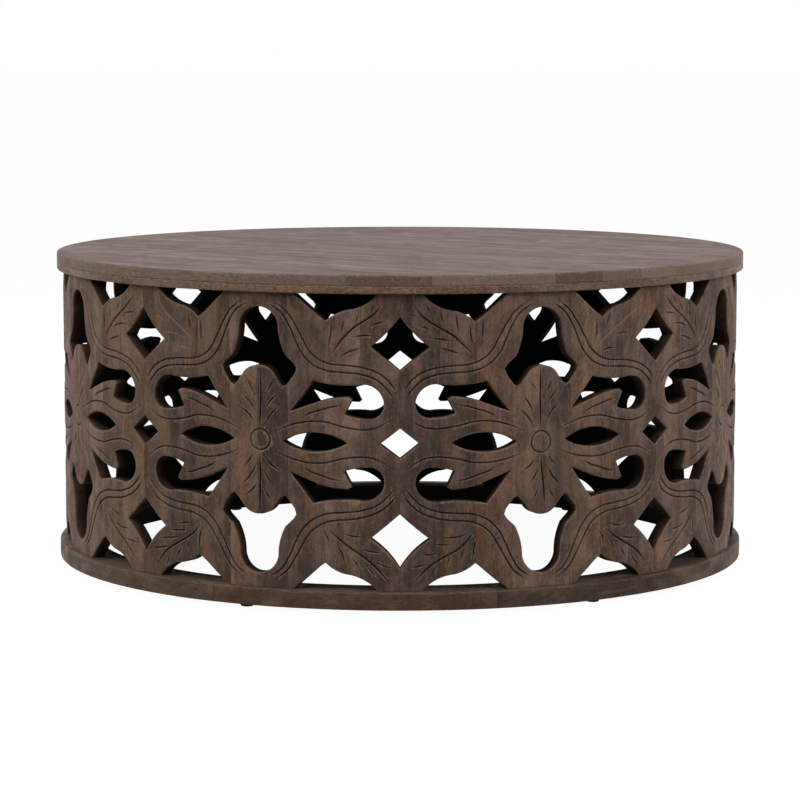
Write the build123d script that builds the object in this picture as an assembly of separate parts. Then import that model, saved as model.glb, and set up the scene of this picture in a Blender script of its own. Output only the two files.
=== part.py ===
from build123d import *

import os
from math import acos, ceil, cos, radians, sin

# A round low table: a boarded top on a drum of eight carved openwork panels,
# which stands on a segmented base ring with six nailed-on glides.
# Millimetres, +Z up. The origin is on the floor, at the middle of the drum.
# Angles in plan are measured from the front (-Y) towards +X.

# ---------------------------------------------------------------- driving sizes
table_diameter = 1000.0
table_height = 450.0

# Top boards, glued side by side and sawn round together
board_thickness = 14.5
top_board_count = 15
board_turn = -38.0        # direction in which the boards run, from +X towards +Y
top_arris = 2.0           # bevel round the upper edge of the top

# Thickening ring under the edge of the boards
top_ring_thickness = 10.5
top_ring_width = 60.0     # at the joints: the inner edges are straight from joint to joint
top_ring_turn = 15.0      # angle of one joint between its segments

# Carved wall, coopered from flat upright staves
panel_count = 8
staves_per_panel = 8
panel_thickness = 20.0
panel_setback = 8.5       # from the rim of the rings in to the face of the wall
chisel_flat_depth = 1.5   # how far a straight cut stands off the arc that it follows

# Base ring
base_ring_thickness = 24.0
base_ring_width = 55.0
base_ring_turn = 15.0     # angle of one joint between its segments
base_ring_arris = 2.0
segments_per_ring = 8

# Loose tenons that locate the wall on both rings
tenon_thickness = 8.0
tenon_width = 50.0
tenon_depth_in_panel = 12.0
tenon_depth_in_base_ring = 12.0
tenon_depth_in_top_ring = 6.0
tenon_clearance = 0.3

# Glides, each moulded round the end of a nail
glide_height = 7.0
glide_diameter = 20.0
glide_angles = (-25.7, 33.4, 90.0, 145.2, 214.1, 274.0)
nail_width = 2.8
nail_depth_in_glide = 5.0
nail_depth_in_ring = 16.0
nail_clearance = 0.1

# ---------------------------------------------------------------- derived sizes
table_radius = table_diameter / 2
board_width = table_diameter / top_board_count
boards_underside = table_height - board_thickness
wall_top = boards_underside - top_ring_thickness
wall_bottom = glide_height + base_ring_thickness
wall_radius = table_radius - panel_setback
wall_inner_radius = wall_radius - panel_thickness
wall_middle_radius = wall_radius - panel_thickness / 2
panel_angle = 360.0 / panel_count
segment_angle = 360.0 / segments_per_ring
panel_half_width = wall_radius * sin(radians(panel_angle / 2))
panel_half_height = (wall_top - wall_bottom) / 2
panel_middle = (wall_top + wall_bottom) / 2
glide_circle_radius = table_radius - base_ring_width / 2
overcut = panel_thickness / 2  # how far a cutter runs past what it cuts

# ---------------------------------------------------------------- carving template
# One quarter of a panel. Coordinates are per cent of the half panel: 0 at the
# flower in its middle, 100 across at the side seam, 100 up at the top edge.
# After its first point an outline goes on in legs: a leg of one point is
# straight, and a leg of two points is an arc through the first to the second.
BELL = [
    (0.0, 90.0),
    ((8.0, 87.8), (14.8, 78.4)),
    ((16.2, 67.6), (20.2, 57.4)),
    ((26.5, 51.9),),
    ((28.4, 49.1),),
    ((27.1, 45.4),),
    ((21.3, 38.4),),
    ((18.8, 37.2),),
    ((16.1, 39.4),),
    ((10.6, 46.3),),
    ((6.2, 49.2), (0.0, 50.3)),
]
CLAW = [
    (24.1, 20.2),
    ((40.9, 41.6),),
    ((56.0, 39.2), (72.3, 39.2)),
    ((86.6, 34.5), (89.6, 25.2)),
    ((86.7, 18.7), (77.7, 16.3)),
    ((69.6, 17.2), (62.7, 19.3)),
    ((68.0, 29.7),),
    ((65.4, 31.4),),
    ((52.9, 30.0), (42.8, 27.1)),
]
ALMOND = [
    (18.7, 0.0),
    ((42.0, 6.5), (65.3, 0.0)),
]
EDGE_NOTCH = [
    (25.7, 100.0),
    ((43.1, 85.4),),
    ((49.0, 81.4),),
    ((55.7, 85.8), (63.7, 88.6)),
    ((76.1, 92.3), (85.4, 100.0)),
]
SEAM_DIAMOND = [
    (100.0, 84.8),
    ((91.9, 74.6), (80.3, 64.6)),
    ((100.0, 47.7),),
]
SEAM_KITE = [
    (100.0, 10.0),
    ((87.0, 0.0),),
]
PAST_EDGE = 110.0  # where an opening that reaches an edge of the panel is closed


def on_drawing(point, side, level):
    """Template point in millimetres, in the quarter given by two signs."""
    across, up = point
    return Vector(side * across / 100 * panel_half_width, level * up / 100 * panel_half_height)


def chisel_flats(start, middle, end):
    """Ends of the straight cuts that follow an arc."""
    arc = Edge.make_three_point_arc(start, middle, end)
    turn_per_flat = 2 * acos(1 - min(chisel_flat_depth / arc.radius, 1))
    count = ceil(arc.length / arc.radius / turn_per_flat)
    return [arc @ (i / count) for i in range(1, count + 1)]


def draw(outline, side=1, level=1):
    """Corners of one outline, in one quarter of the panel."""
    corners = [on_drawing(outline[0], side, level)]
    for leg in outline[1:]:
        points = [on_drawing(point, side, level) for point in leg]
        if len(points) == 1:
            corners += points
        else:
            corners += chisel_flats(corners[-1], *points)
    return corners


def filled(corners):
    """Flat face inside a closed run of corners."""
    return Face(Wire.make_polygon(corners))


def bell_face(level):
    """Bell over or under the flower, alike on both sides of the centre line."""
    right, left = draw(BELL, 1, level), draw(BELL, -1, level)
    return filled(right + left[-2:0:-1])


def claw_face(side, level):
    """Claw-shaped opening round the tip of a slanting leaf."""
    return filled(draw(CLAW, side, level))


def almond_face(side):
    """Almond beside the flower, alike above and below mid-height."""
    upper, lower = draw(ALMOND, side, 1), draw(ALMOND, side, -1)
    return filled(upper + lower[-2:0:-1])


def notch_face(side, level):
    """Notch in the top or bottom edge, closed beyond the edge."""
    near, far = EDGE_NOTCH[0][0], EDGE_NOTCH[-1][-1][0]
    return filled(draw(EDGE_NOTCH + [((far, PAST_EDGE),), ((near, PAST_EDGE),)], side, level))


def diamond_face(side, level):
    """Half of the diamond that two panels share, closed beyond the seam."""
    high, low = SEAM_DIAMOND[0][1], SEAM_DIAMOND[-1][-1][1]
    return filled(draw(SEAM_DIAMOND + [((PAST_EDGE, low),), ((PAST_EDGE, high),)], side, level))


def kite_face(side):
    """Half of the small kite on the seam at mid-height, closed beyond the seam."""
    seam, high = SEAM_KITE[0]
    outline = [(PAST_EDGE, high), ((seam, high),)] + SEAM_KITE[1:]
    upper, lower = draw(outline, side, 1), draw(outline, side, -1)
    return filled(upper + lower[-2::-1])


def panel_openings():
    """Every opening of one panel, as flat faces on its drawing."""
    faces = [bell_face(1), bell_face(-1)]
    for side in (1, -1):
        faces.append(almond_face(side))
        faces.append(kite_face(side))
        for level in (1, -1):
            faces.append(claw_face(side, level))
            faces.append(notch_face(side, level))
            faces.append(diamond_face(side, level))
    return faces


def ring_section(inner, low, high, arris):
    """Half section of a ring or disc of the full diameter, bevelled at its upper edge."""
    corners = [
        (inner, low),
        (table_radius, low),
        (table_radius, high - arris),
        (table_radius - arris, high),
        (inner, high),
    ]
    return Plane.XZ * make_face(Polyline(*corners, close=True))


def turned(shape, angle):
    """Shape made at the front, moved round the drum to an angle."""
    return Rot(0, 0, angle) * shape


def tenon(below, above, level, clearance=0.0):
    """Loose tenon at the front, or with a clearance the mortise cut for it."""
    size_across = tenon_width + 2 * clearance
    size_through = tenon_thickness + 2 * clearance
    height = below + above + 2 * clearance
    centre = level + (above - below) / 2
    return Pos(0, -wall_middle_radius, centre) * Box(size_across, size_through, height)


def base_tenon(clearance=0.0):
    """Tenon between the base ring and a panel."""
    return tenon(tenon_depth_in_base_ring, tenon_depth_in_panel, wall_bottom, clearance)


def top_tenon(clearance=0.0):
    """Tenon between a panel and the top ring."""
    return tenon(tenon_depth_in_panel, tenon_depth_in_top_ring, wall_top, clearance)


def panel_angles():
    """Angles of the middles of the panels: a seam lies at the front."""
    return [panel_angle * (i + 0.5) for i in range(panel_count)]


def plan_point(radius, angle):
    """Point in plan at an angle from the front."""
    return (radius * sin(radians(angle)), -radius * cos(radians(angle)))


def stave_plan():
    """Plan of the staves of one panel, glued edge to edge, at the front."""
    stave_angle = panel_angle / staves_per_panel
    angles = [i * stave_angle - panel_angle / 2 for i in range(staves_per_panel + 1)]
    outer = [plan_point(wall_radius, angle) for angle in angles]
    inner = [plan_point(wall_inner_radius, angle) for angle in reversed(angles)]
    return make_face(Polyline(*outer, *inner, close=True))


def carved_panel():
    """One pierced panel at the front, cut square to its drawing."""
    blank = Pos(0, 0, wall_bottom) * extrude(stave_plan(), wall_top - wall_bottom)
    nearest = wall_inner_radius * cos(radians(panel_angle / 2)) - overcut
    drawing = Plane(origin=(0, -nearest, panel_middle), x_dir=(1, 0, 0), z_dir=(0, -1, 0))
    depth = wall_radius + overcut - nearest
    cutters = [extrude(drawing * face, depth, drawing.z_dir) for face in panel_openings()]
    cutters += [base_tenon(tenon_clearance), top_tenon(tenon_clearance)]
    return blank - cutters


def top_boards():
    """The boards of the top, from the near left to the far right."""
    disc = revolve(ring_section(0, boards_underside, table_height, top_arris), Axis.Z, 360)
    strip = Box(table_diameter, board_width, table_height)
    middles = [(i + 0.5) * board_width - table_radius for i in range(top_board_count)]
    places = [Rot(0, 0, board_turn) * Pos(0, middle, table_height) for middle in middles]
    return [disc & place * strip for place in places]


def segment_angles(turn):
    """Angles of the middles of a ring's segments, from that of one of their joints."""
    return [turn + segment_angle * (i + 0.5) for i in range(segments_per_ring)]


def cut_by(segment, cutters):
    """Segment of a ring, cut by those cutters that come near it."""
    box = segment.bounding_box()
    return segment - [cutter for cutter in cutters if box.overlaps(cutter.bounding_box())]


def top_ring_segments():
    """Strips of the thickening ring, with mortises: round outside and straight inside."""
    ends = (-segment_angle / 2, segment_angle / 2)
    start, end = [plan_point(table_radius, angle) for angle in ends]
    inner_start, inner_end = [plan_point(table_radius - top_ring_width, angle) for angle in ends]
    rim = ThreePointArc(start, plan_point(table_radius, 0), end)
    plan = make_face([rim, Polyline(end, inner_end, inner_start, start)])
    strip = Pos(0, 0, wall_top) * extrude(plan, top_ring_thickness)
    mortises = [turned(top_tenon(tenon_clearance), angle) for angle in panel_angles()]
    return [cut_by(turned(strip, angle), mortises) for angle in segment_angles(top_ring_turn)]


def base_ring_segments():
    """Segments of the base ring, with mortises and nail holes."""
    inner = table_radius - base_ring_width
    section = ring_section(inner, glide_height, wall_bottom, base_ring_arris)
    segment = Rot(0, 0, -90 - segment_angle / 2) * revolve(section, Axis.Z, segment_angle)
    cutters = [turned(base_tenon(tenon_clearance), angle) for angle in panel_angles()]
    cutters += [turned(glide_nail(nail_clearance), angle) for angle in glide_angles]
    return [cut_by(turned(segment, angle), cutters) for angle in segment_angles(base_ring_turn)]


def glide_nail(clearance=0.0):
    """Square-shanked nail of a glide at the front, or with a clearance the hole for it."""
    length = nail_depth_in_glide + nail_depth_in_ring + 2 * clearance
    low = glide_height - nail_depth_in_glide - clearance
    width = nail_width + 2 * clearance
    return Pos(0, -glide_circle_radius, low + length / 2) * Box(width, width, length)


def glide():
    """Round glide at the front, with the blind hole that its nail fills."""
    foot = Pos(0, 0, glide_height / 2) * Cylinder(glide_diameter / 2, glide_height)
    return Pos(0, -glide_circle_radius, 0) * foot - glide_nail(nail_clearance)


def write(name, *solids):
    """Write one node, as a single solid or as a group of like ones."""
    shape = solids[0] if len(solids) == 1 else Compound(children=list(solids))
    export_step(shape, os.path.join("parts", name + ".step"))


def main():
    os.makedirs("parts", exist_ok=True)
    for i, board in enumerate(top_boards(), 1):
        write(f"top_board_{i:02d}", board)
    for i, segment in enumerate(top_ring_segments(), 1):
        write(f"top_ring_{i}", segment)
    for i, segment in enumerate(base_ring_segments(), 1):
        write(f"base_ring_{i}", segment)
    panel = carved_panel()
    for i, angle in enumerate(panel_angles(), 1):
        write(f"carved_panel_{i}", turned(panel, angle))
    write("base_tenons", *[turned(base_tenon(), angle) for angle in panel_angles()])
    write("top_tenons", *[turned(top_tenon(), angle) for angle in panel_angles()])
    write("glides", *[turned(glide(), angle) for angle in glide_angles])
    write("glide_nails", *[turned(glide_nail(), angle) for angle in glide_angles])


if __name__ == "__main__":
    main()
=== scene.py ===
"""Looks of a round drum table with a carved openwork wall.

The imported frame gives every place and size. All lengths are in metres, +Z is up and
the origin is on the floor in the middle of the drum. Angles in plan are measured
from the front (-Y) towards +X. Shapes are functions on grids, worked out with numpy.
"""

import logging
import math
from dataclasses import dataclass, field
from enum import Enum
from typing import Iterable, Iterator, Optional, Sequence

import bmesh
import bpy
import numpy as np
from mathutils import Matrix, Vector
from mathutils.geometry import delaunay_2d_cdt

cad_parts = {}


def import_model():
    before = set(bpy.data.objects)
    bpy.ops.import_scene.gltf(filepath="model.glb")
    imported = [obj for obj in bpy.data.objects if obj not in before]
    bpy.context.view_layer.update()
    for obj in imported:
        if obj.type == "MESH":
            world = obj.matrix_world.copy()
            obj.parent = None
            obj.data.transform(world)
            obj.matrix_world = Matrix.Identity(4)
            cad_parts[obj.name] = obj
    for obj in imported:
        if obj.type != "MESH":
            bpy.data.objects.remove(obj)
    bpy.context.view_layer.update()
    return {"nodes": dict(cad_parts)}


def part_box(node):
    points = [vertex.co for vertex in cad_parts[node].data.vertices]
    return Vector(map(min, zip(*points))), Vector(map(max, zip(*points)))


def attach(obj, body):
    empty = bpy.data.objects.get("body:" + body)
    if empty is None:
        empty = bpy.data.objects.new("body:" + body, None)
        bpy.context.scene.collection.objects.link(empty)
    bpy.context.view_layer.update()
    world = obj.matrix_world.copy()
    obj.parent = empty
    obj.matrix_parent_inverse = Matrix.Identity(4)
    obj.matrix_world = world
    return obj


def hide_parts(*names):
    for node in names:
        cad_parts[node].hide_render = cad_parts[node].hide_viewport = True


LOG = logging.getLogger("drum_table")
BODY = "root"
MM = 0.001
SEED = 7
TINY = 1e-9
TOUCHING = 1e-6
CELLS_IN_ROW = 10_000_000
SHARP_ANGLE = math.radians(40)

Colour = tuple[float, float, float]
Points = np.ndarray


# ---------- sizes


@dataclass(frozen=True)
class DrumSizes:
    """Places and sizes that the looks share, read from the frame.

    Args:
        radius: of the rims of the top and the base ring.
        top: height of the table top.
        boards_underside: underside of the boards of the top.
        wall_top: upper edge of the carved wall.
        wall_bottom: lower edge of the carved wall.
        ring_underside: underside of the base ring.
        wall_radius: outer face of the carved wall.
        wall_thickness: from its outer to its inner face.
        top_ring_inner: inner edge of the thickening ring at its joints.
        base_ring_inner: inner edge of the base ring.
        panel_count: panels in the carved wall.
        segments_per_ring: segments in the thickening ring and in the base ring.
        ring_turn: angle of the first joint of both rings.
        board_count: boards in the top.
        board_turn: direction of the boards' length, turned about +Z from +X.
    """

    radius: float
    top: float
    boards_underside: float
    wall_top: float
    wall_bottom: float
    ring_underside: float
    wall_radius: float
    wall_thickness: float
    top_ring_inner: float
    base_ring_inner: float
    panel_count: int = 8
    segments_per_ring: int = 8
    ring_turn: float = math.radians(15.0)
    board_count: int = 15
    board_turn: float = math.radians(-38.0)

    @classmethod
    def from_frame(cls) -> "DrumSizes":
        """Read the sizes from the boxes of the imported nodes.

        The far corner of a panel or ring segment is at radius * sin(angle) or
        radius * cos(angle), so the boxes give the radii.

        Returns:
            The sizes.
        """
        board_low, board_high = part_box("top_board_08")
        ring_low, ring_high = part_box("base_ring_1")
        top_ring_low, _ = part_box("top_ring_1")
        panel_low, panel_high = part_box("carved_panel_1")
        panel_angle = 2 * math.pi / cls.panel_count
        wall_radius = panel_high.x / math.sin(panel_angle)
        inner_radius = -panel_high.y / math.cos(panel_angle)
        return cls(
            radius=max(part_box("base_ring_2")[1].x, -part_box("base_ring_8")[0].y),
            top=board_high.z,
            boards_underside=board_low.z,
            wall_top=panel_high.z,
            wall_bottom=panel_low.z,
            ring_underside=ring_low.z,
            wall_radius=wall_radius,
            wall_thickness=wall_radius - inner_radius,
            top_ring_inner=top_ring_low.x / math.sin(cls.ring_turn),
            base_ring_inner=ring_low.x / math.sin(cls.ring_turn),
        )

    @property
    def panel_angle(self) -> float:
        """Angle that one panel takes."""
        return 2 * math.pi / self.panel_count

    @property
    def wall_inner(self) -> float:
        """Radius of the inner face of the carved wall."""
        return self.wall_radius - self.wall_thickness

    @property
    def segment_angle(self) -> float:
        """Angle that one segment of a ring takes."""
        return 2 * math.pi / self.segments_per_ring

    @property
    def half_width(self) -> float:
        """Half the chord of a panel at its outer face."""
        return self.wall_radius * math.sin(self.panel_angle / 2)

    @property
    def half_height(self) -> float:
        """Half the height of a panel."""
        return (self.wall_top - self.wall_bottom) / 2

    @property
    def wall_middle(self) -> float:
        """Height of the middle of the panels."""
        return (self.wall_top + self.wall_bottom) / 2


# ---------- arrays


def around(radius: Points, angle: Points, height: Points) -> Points:
    """Points in the row frame: radius * sin(angle), -radius * cos(angle), height."""
    radius, angle, height = np.broadcast_arrays(radius, angle, height)
    return np.stack([radius * np.sin(angle), -radius * np.cos(angle), height], axis=-1)


def turned(points: Points, angle: float) -> Points:
    """Points turned about +Z: x * cos - y * sin, x * sin + y * cos, z."""
    (x, y, z), c, s = np.moveaxis(points, -1, 0), math.cos(angle), math.sin(angle)
    return np.stack([x * c - y * s, x * s + y * c, z], axis=-1)


def falloff(distance: Points, width: float) -> Points:
    """1 at no distance, falling straight to 0 at the width."""
    return np.clip(1 - distance / width, 0, 1)


def quarter_round(share: Points) -> Points:
    """How far a quarter circle of radius 1 has fallen at a share (0 to 1) of its width."""
    return 1 - np.sqrt(1 - share**2)


def waves(place: Points, lengths: Sequence[float], rng: np.random.Generator) -> Points:
    """Smooth seeded ripple of about unit height over places of any dimension.

    The sum of sines in random directions, one for each wavelength.

    Args:
        place: (..., n) coordinates in metres.
        lengths: wavelengths in metres.
        rng: the seeded source of directions and phases.

    Returns:
        The height at each place.
    """
    total = np.zeros(place.shape[:-1])
    for length in lengths:
        direction = rng.normal(size=place.shape[-1])
        direction /= np.linalg.norm(direction)
        phase = rng.uniform(0, 2 * math.pi)
        total += np.sin(place @ direction * (2 * math.pi / length) + phase)
    return total / math.sqrt(len(lengths))


def along_path(points: Points, step: float, samples: int = 24) -> Points:
    """Points along a smooth Catmull-Rom curve through given points.

    Between b and c, with a before and d after them, the curve is the cubic in t from
    0 to 1 that meets b and c with slopes of half c - a and half d - b.

    Args:
        points: (n, 2) places that the curve goes through.
        step: the even step asked for.
        samples: of the curve to a given point, before they are spaced evenly.

    Returns:
        (m, 2) places.
    """
    ends = [2 * points[0] - points[1]], [2 * points[-1] - points[-2]]
    knots = np.concatenate([ends[0], points, ends[1]])
    place = np.linspace(0, len(points) - 1 - TINY, samples * len(points))
    i = place.astype(int)
    t = (place - i)[:, None]
    a, b, c, d = knots[i], knots[i + 1], knots[i + 2], knots[i + 3]
    dense = 0.5 * (
        2 * b + (c - a) * t + (2 * a - 5 * b + 4 * c - d) * t**2
        + (3 * b - a - 3 * c + d) * t**3
    )
    return even_steps(dense, step)


def even_steps(line: Points, step: float) -> Points:
    """The same line with its points at an even step.

    Args:
        line: (n, 2) places.
        step: the step asked for, which the real one comes close to.

    Returns:
        (m, 2) places, with the same ends.
    """
    lengths = np.linalg.norm(np.diff(line, axis=0), axis=1)
    run = np.concatenate([[0], np.cumsum(lengths)])
    count = max(2, int(round(run[-1] / step)) + 1)
    wanted = np.linspace(0, run[-1], count)
    return np.stack([np.interp(wanted, run, line[:, k]) for k in range(2)], axis=-1)


def arc_through(start: Points, middle: Points, end: Points, step: float) -> Points:
    """Points on the circular arc through three points.

    Its centre is where the perpendicular bisectors of two chords cross.

    Args:
        start: where it starts, which isn't given back.
        middle: any place between.
        end: where it ends.
        step: the longest step between points.

    Returns:
        (n, 2) places, the end last.
    """
    (ax, ay), (bx, by), (cx, cy) = start, middle, end
    d = 2 * (ax * (by - cy) + bx * (cy - ay) + cx * (ay - by))
    squares = np.array([ax**2 + ay**2, bx**2 + by**2, cx**2 + cy**2])
    centre = np.array([
        squares @ [by - cy, cy - ay, ay - by],
        squares @ [cx - bx, ax - cx, bx - ax],
    ]) / d
    radius = np.linalg.norm(start - centre)
    angles = [math.atan2(*(p - centre)[::-1]) for p in (start, middle, end)]
    angles = np.unwrap(np.unwrap(angles, period=2 * math.pi))
    count = max(2, math.ceil(abs(angles[2] - angles[0]) * radius / step))
    turn = np.linspace(angles[0], angles[2], count + 1)[1:]
    return centre + radius * np.stack([np.cos(turn), np.sin(turn)], axis=-1)


def straight_to(start: Points, end: Points, step: float) -> Points:
    """Points on the straight line between two points, without the first."""
    count = max(1, math.ceil(np.linalg.norm(end - start) / step))
    return start + (end - start) * (np.arange(1, count + 1) / count)[:, None]


def left_of(ahead: Points) -> Points:
    """Unit vectors to the left of (n, 2) directions: (-y, x) over their length."""
    ahead = ahead / np.linalg.norm(ahead, axis=1, keepdims=True)
    return np.stack([-ahead[:, 1], ahead[:, 0]], axis=-1)


def left_normals(loop: Points, least: float = 0.6) -> Points:
    """Mitred normals to the left of a closed loop.

    The mean of the normals of the two edges at a point, over the cosine of the angle
    between it and either of them.

    Args:
        loop: (n, 2) places.
        least: the least cosine, so that the mitre at a sharp corner isn't too long.

    Returns:
        (n, 2) normals.
    """
    left = left_of(np.roll(loop, -1, axis=0) - loop)
    both = left + np.roll(left, 1, axis=0)
    both /= np.maximum(np.linalg.norm(both, axis=1, keepdims=True), TINY)
    mitre = 1 / np.maximum((both * left).sum(axis=1, keepdims=True), least)
    return both * mitre


def signed_area(loop: Points) -> float:
    """Area inside a closed loop, positive where it runs anticlockwise."""
    ahead = np.roll(loop, -1, axis=0)
    return 0.5 * float((loop[:, 0] * ahead[:, 1] - ahead[:, 0] * loop[:, 1]).sum())


def cell_keys(points: Points, size: float, shift: float = 0.0) -> np.ndarray:
    """One number for the square cell that each point lies in, on a grid of that size."""
    cells = np.floor(points / size + shift).astype(np.int64)
    return cells[:, 0] * CELLS_IN_ROW + cells[:, 1]


def tiles(points: Points, size: float) -> Iterable[Points]:
    """Sort points into square tiles of the plane.

    Args:
        points: (n, 2) places.
        size: side of a tile.

    Returns:
        For each tile that has points, their index numbers.
    """
    keys = cell_keys(points, size)
    order = np.argsort(keys, kind="stable")
    breaks = np.flatnonzero(np.diff(keys[order])) + 1
    return np.split(order, breaks) if len(points) else []


@dataclass(frozen=True)
class Segments:
    """Straight segments with values at both of their ends.

    TILE is the side of the tiles that points are worked on in, and REACH the greatest
    distance that is told apart.

    Args:
        starts: (n, 2) places.
        ends: (n, 2) places.
        values: (n, 2, k) values at the start and the end, or None.
    """

    starts: Points
    ends: Points
    values: Optional[Points] = None

    TILE = 25 * MM
    REACH = 12 * MM

    @classmethod
    def of_loops(cls, loops: Iterable[Points]) -> "Segments":
        """Every edge of closed loops."""
        loops = list(loops)
        after = [np.roll(loop, -1, axis=0) for loop in loops]
        return cls(np.concatenate(loops), np.concatenate(after))

    def only(self, chosen: Points) -> "Segments":
        """The segments that a mask or an index array picks."""
        values = None if self.values is None else self.values[chosen]
        return Segments(self.starts[chosen], self.ends[chosen], values)

    def _by_tile(self, points: Points) -> Iterator[tuple[np.ndarray, "Segments"]]:
        """Go through the tiles that segments come near to.

        Args:
            points: (n, 2) places.

        Returns:
            For each tile, the numbers of its points and the segments within reach of
            their box.
        """
        for tile in tiles(points, self.TILE):
            low = points[tile].min(axis=0) - self.REACH
            high = points[tile].max(axis=0) + self.REACH
            under = np.maximum(self.starts, self.ends) >= low
            over = np.minimum(self.starts, self.ends) <= high
            near = (under & over).all(axis=1)
            if near.any():
                yield tile, self.only(near)

    def feet(self, points: Points) -> tuple[Points, Points]:
        """Drop every point onto every segment.

        Args:
            points: (n, 2) places.

        Returns:
            The distances of the n points to the m segments, and the shares (0 to 1)
            of the segments where the feet lie, both (n, m).
        """
        ahead = self.ends - self.starts
        offset = points[:, None, :] - self.starts
        share = (offset * ahead).sum(-1) / np.maximum((ahead**2).sum(-1), TINY**2)
        share = np.clip(share, 0, 1)
        return np.linalg.norm(offset - share[..., None] * ahead, axis=-1), share

    def distance(self, points: Points) -> Points:
        """Measure how far each point is from the nearest segment.

        Args:
            points: (n, 2) places.

        Returns:
            n distances, none more than the reach.
        """
        found = np.full(len(points), self.REACH)
        for tile, near in self._by_tile(points):
            least = near.feet(points[tile])[0].min(axis=1)
            found[tile] = np.minimum(least, self.REACH)
        return found

    def deepest(self, points: Points) -> Points:
        """Depth of V-cuts whose half-widths and depths are the segments' two values.

        A cut's depth falls straight from its middle to nothing at its half-width.

        Args:
            points: (n, 2) places.

        Returns:
            n depths, of the deepest cut at each place.
        """
        found = np.zeros(len(points))
        for tile, near in self._by_tile(points):
            away, share = near.feet(points[tile])
            first, last = near.values[:, 0], near.values[:, 1]
            half = first[:, 0] + share * (last - first)[:, 0]
            depth = first[:, 1] + share * (last - first)[:, 1]
            found[tile] = (depth * falloff(away, half)).max(axis=1)
        return found

    def around(self, points: Points) -> Points:
        """Tell which points lie inside an odd number of loops.

        Args:
            points: (n, 2) places.

        Returns:
            For each point, whether the edges that its ray to the right crosses are odd.
        """
        found = np.zeros(len(points), bool)
        for tile in tiles(points, self.TILE):
            x, y = points[tile, :1], points[tile, 1:]
            level = np.maximum(self.starts[:, 1], self.ends[:, 1]) >= y.min()
            level &= np.minimum(self.starts[:, 1], self.ends[:, 1]) <= y.max()
            a, b = self.starts[level], self.ends[level]
            spans = (a[:, 1] > y) != (b[:, 1] > y)
            rise = np.where(b[:, 1] == a[:, 1], 1.0, b[:, 1] - a[:, 1])
            cross = a[:, 0] + (y - a[:, 1]) * (b[:, 0] - a[:, 0]) / rise
            found[tile] = (spans & (x < cross)).sum(axis=1) % 2 == 1
        return found


# ---------- meshes


def linked(name: str, data: bpy.types.ID) -> bpy.types.Object:
    """A new object with its mesh, lamp or camera, linked to the scene."""
    made = bpy.data.objects.new(name, data)
    bpy.context.scene.collection.objects.link(made)
    return made


@dataclass
class MeshArrays:
    """Vertices and faces on their way into a Blender mesh.

    Args:
        points: (n, 3) places in the row frame.
        faces: arrays of faces, each (m, 3) or (m, 4).
        floats: one value a vertex, by attribute name.
        vectors: (n, 3) values, by attribute name.
    """

    points: Points
    faces: list[np.ndarray]
    floats: dict[str, Points] = field(default_factory=dict)
    vectors: dict[str, Points] = field(default_factory=dict)

    def piece(self, name: str, smooth_below: Optional[float] = None) -> bpy.types.Object:
        """Make the object, at the origin, with smooth shading.

        Args:
            name: of the object and its mesh.
            smooth_below: angle in radians past which an edge is sharp, or None.

        Returns:
            The object, linked to the scene.
        """
        mesh = bpy.data.meshes.new(name)
        sizes = np.concatenate([np.full(len(f), f.shape[1]) for f in self.faces])
        corners = np.concatenate([f.ravel() for f in self.faces])
        mesh.vertices.add(len(self.points))
        mesh.vertices.foreach_set("co", self.points.astype(np.float32).ravel())
        mesh.loops.add(len(corners))
        mesh.loops.foreach_set("vertex_index", corners.astype(np.int32))
        mesh.polygons.add(len(sizes))
        starts = np.concatenate([[0], np.cumsum(sizes)[:-1]])
        mesh.polygons.foreach_set("loop_start", starts.astype(np.int32))
        mesh.polygons.foreach_set("loop_total", sizes.astype(np.int32))
        for key, values in self.floats.items():
            attribute = mesh.attributes.new(key, "FLOAT", "POINT")
            attribute.data.foreach_set("value", values.astype(np.float32))
        for key, values in self.vectors.items():
            attribute = mesh.attributes.new(key, "FLOAT_VECTOR", "POINT")
            attribute.data.foreach_set("vector", values.astype(np.float32).ravel())
        mesh.update(calc_edges=True)
        mesh.validate()
        mesh.shade_smooth()
        if smooth_below is not None:
            mesh.set_sharp_from_angle(angle=smooth_below)
        return linked(name, mesh)


def grid_faces(ids: np.ndarray, closed: bool = False) -> np.ndarray:
    """Quads of a grid.

    Args:
        ids: (rows, columns) vertex numbers.
        closed: whether the last column meets the first.

    Returns:
        (n, 4) vertex numbers, anticlockwise where rows go left and columns go up.
    """
    if closed:
        ids = np.concatenate([ids, ids[:, :1]], axis=1)
    return np.stack(
        [ids[:-1, :-1], ids[:-1, 1:], ids[1:, 1:], ids[1:, :-1]], axis=-1
    ).reshape(-1, 4)


def block_lattice(counts: tuple[int, int, int]) -> tuple[np.ndarray, np.ndarray]:
    """Surface of a block of lattice points.

    Args:
        counts: points along its three sides.

    Returns:
        The (n, 3) lattice indices of the points on its surface, and its outward quads.
    """
    a, b, c = counts
    on_surface = np.ones(counts, bool)
    on_surface[1:-1, 1:-1, 1:-1] = False
    ids = np.full(counts, -1)
    ids[on_surface] = np.arange(on_surface.sum())
    sides = [
        ids[0].T, ids[-1], ids[:, 0], ids[:, -1].T, ids[:, :, 0].T, ids[:, :, -1],
    ]
    faces = np.concatenate([grid_faces(side)[:, ::-1] for side in sides])
    return np.argwhere(on_surface), faces


def near_edges(length: float, edge: float, count: int, inner: int = 1) -> Points:
    """Shares from 0 to 1 along a length, with extra ones just inside both ends.

    Args:
        length: in metres.
        edge: depth in metres of the strip at each end that gets extra shares.
        count: shares over the whole length.
        inner: extra shares in each strip.

    Returns:
        The shares in rising order.
    """
    strip = np.linspace(0, edge / length, inner + 1)
    middle = np.linspace(edge / length, 1 - edge / length, count)
    return np.unique(np.round(np.concatenate([strip, middle, 1 - strip]), 9))


# ---------- carving


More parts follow.
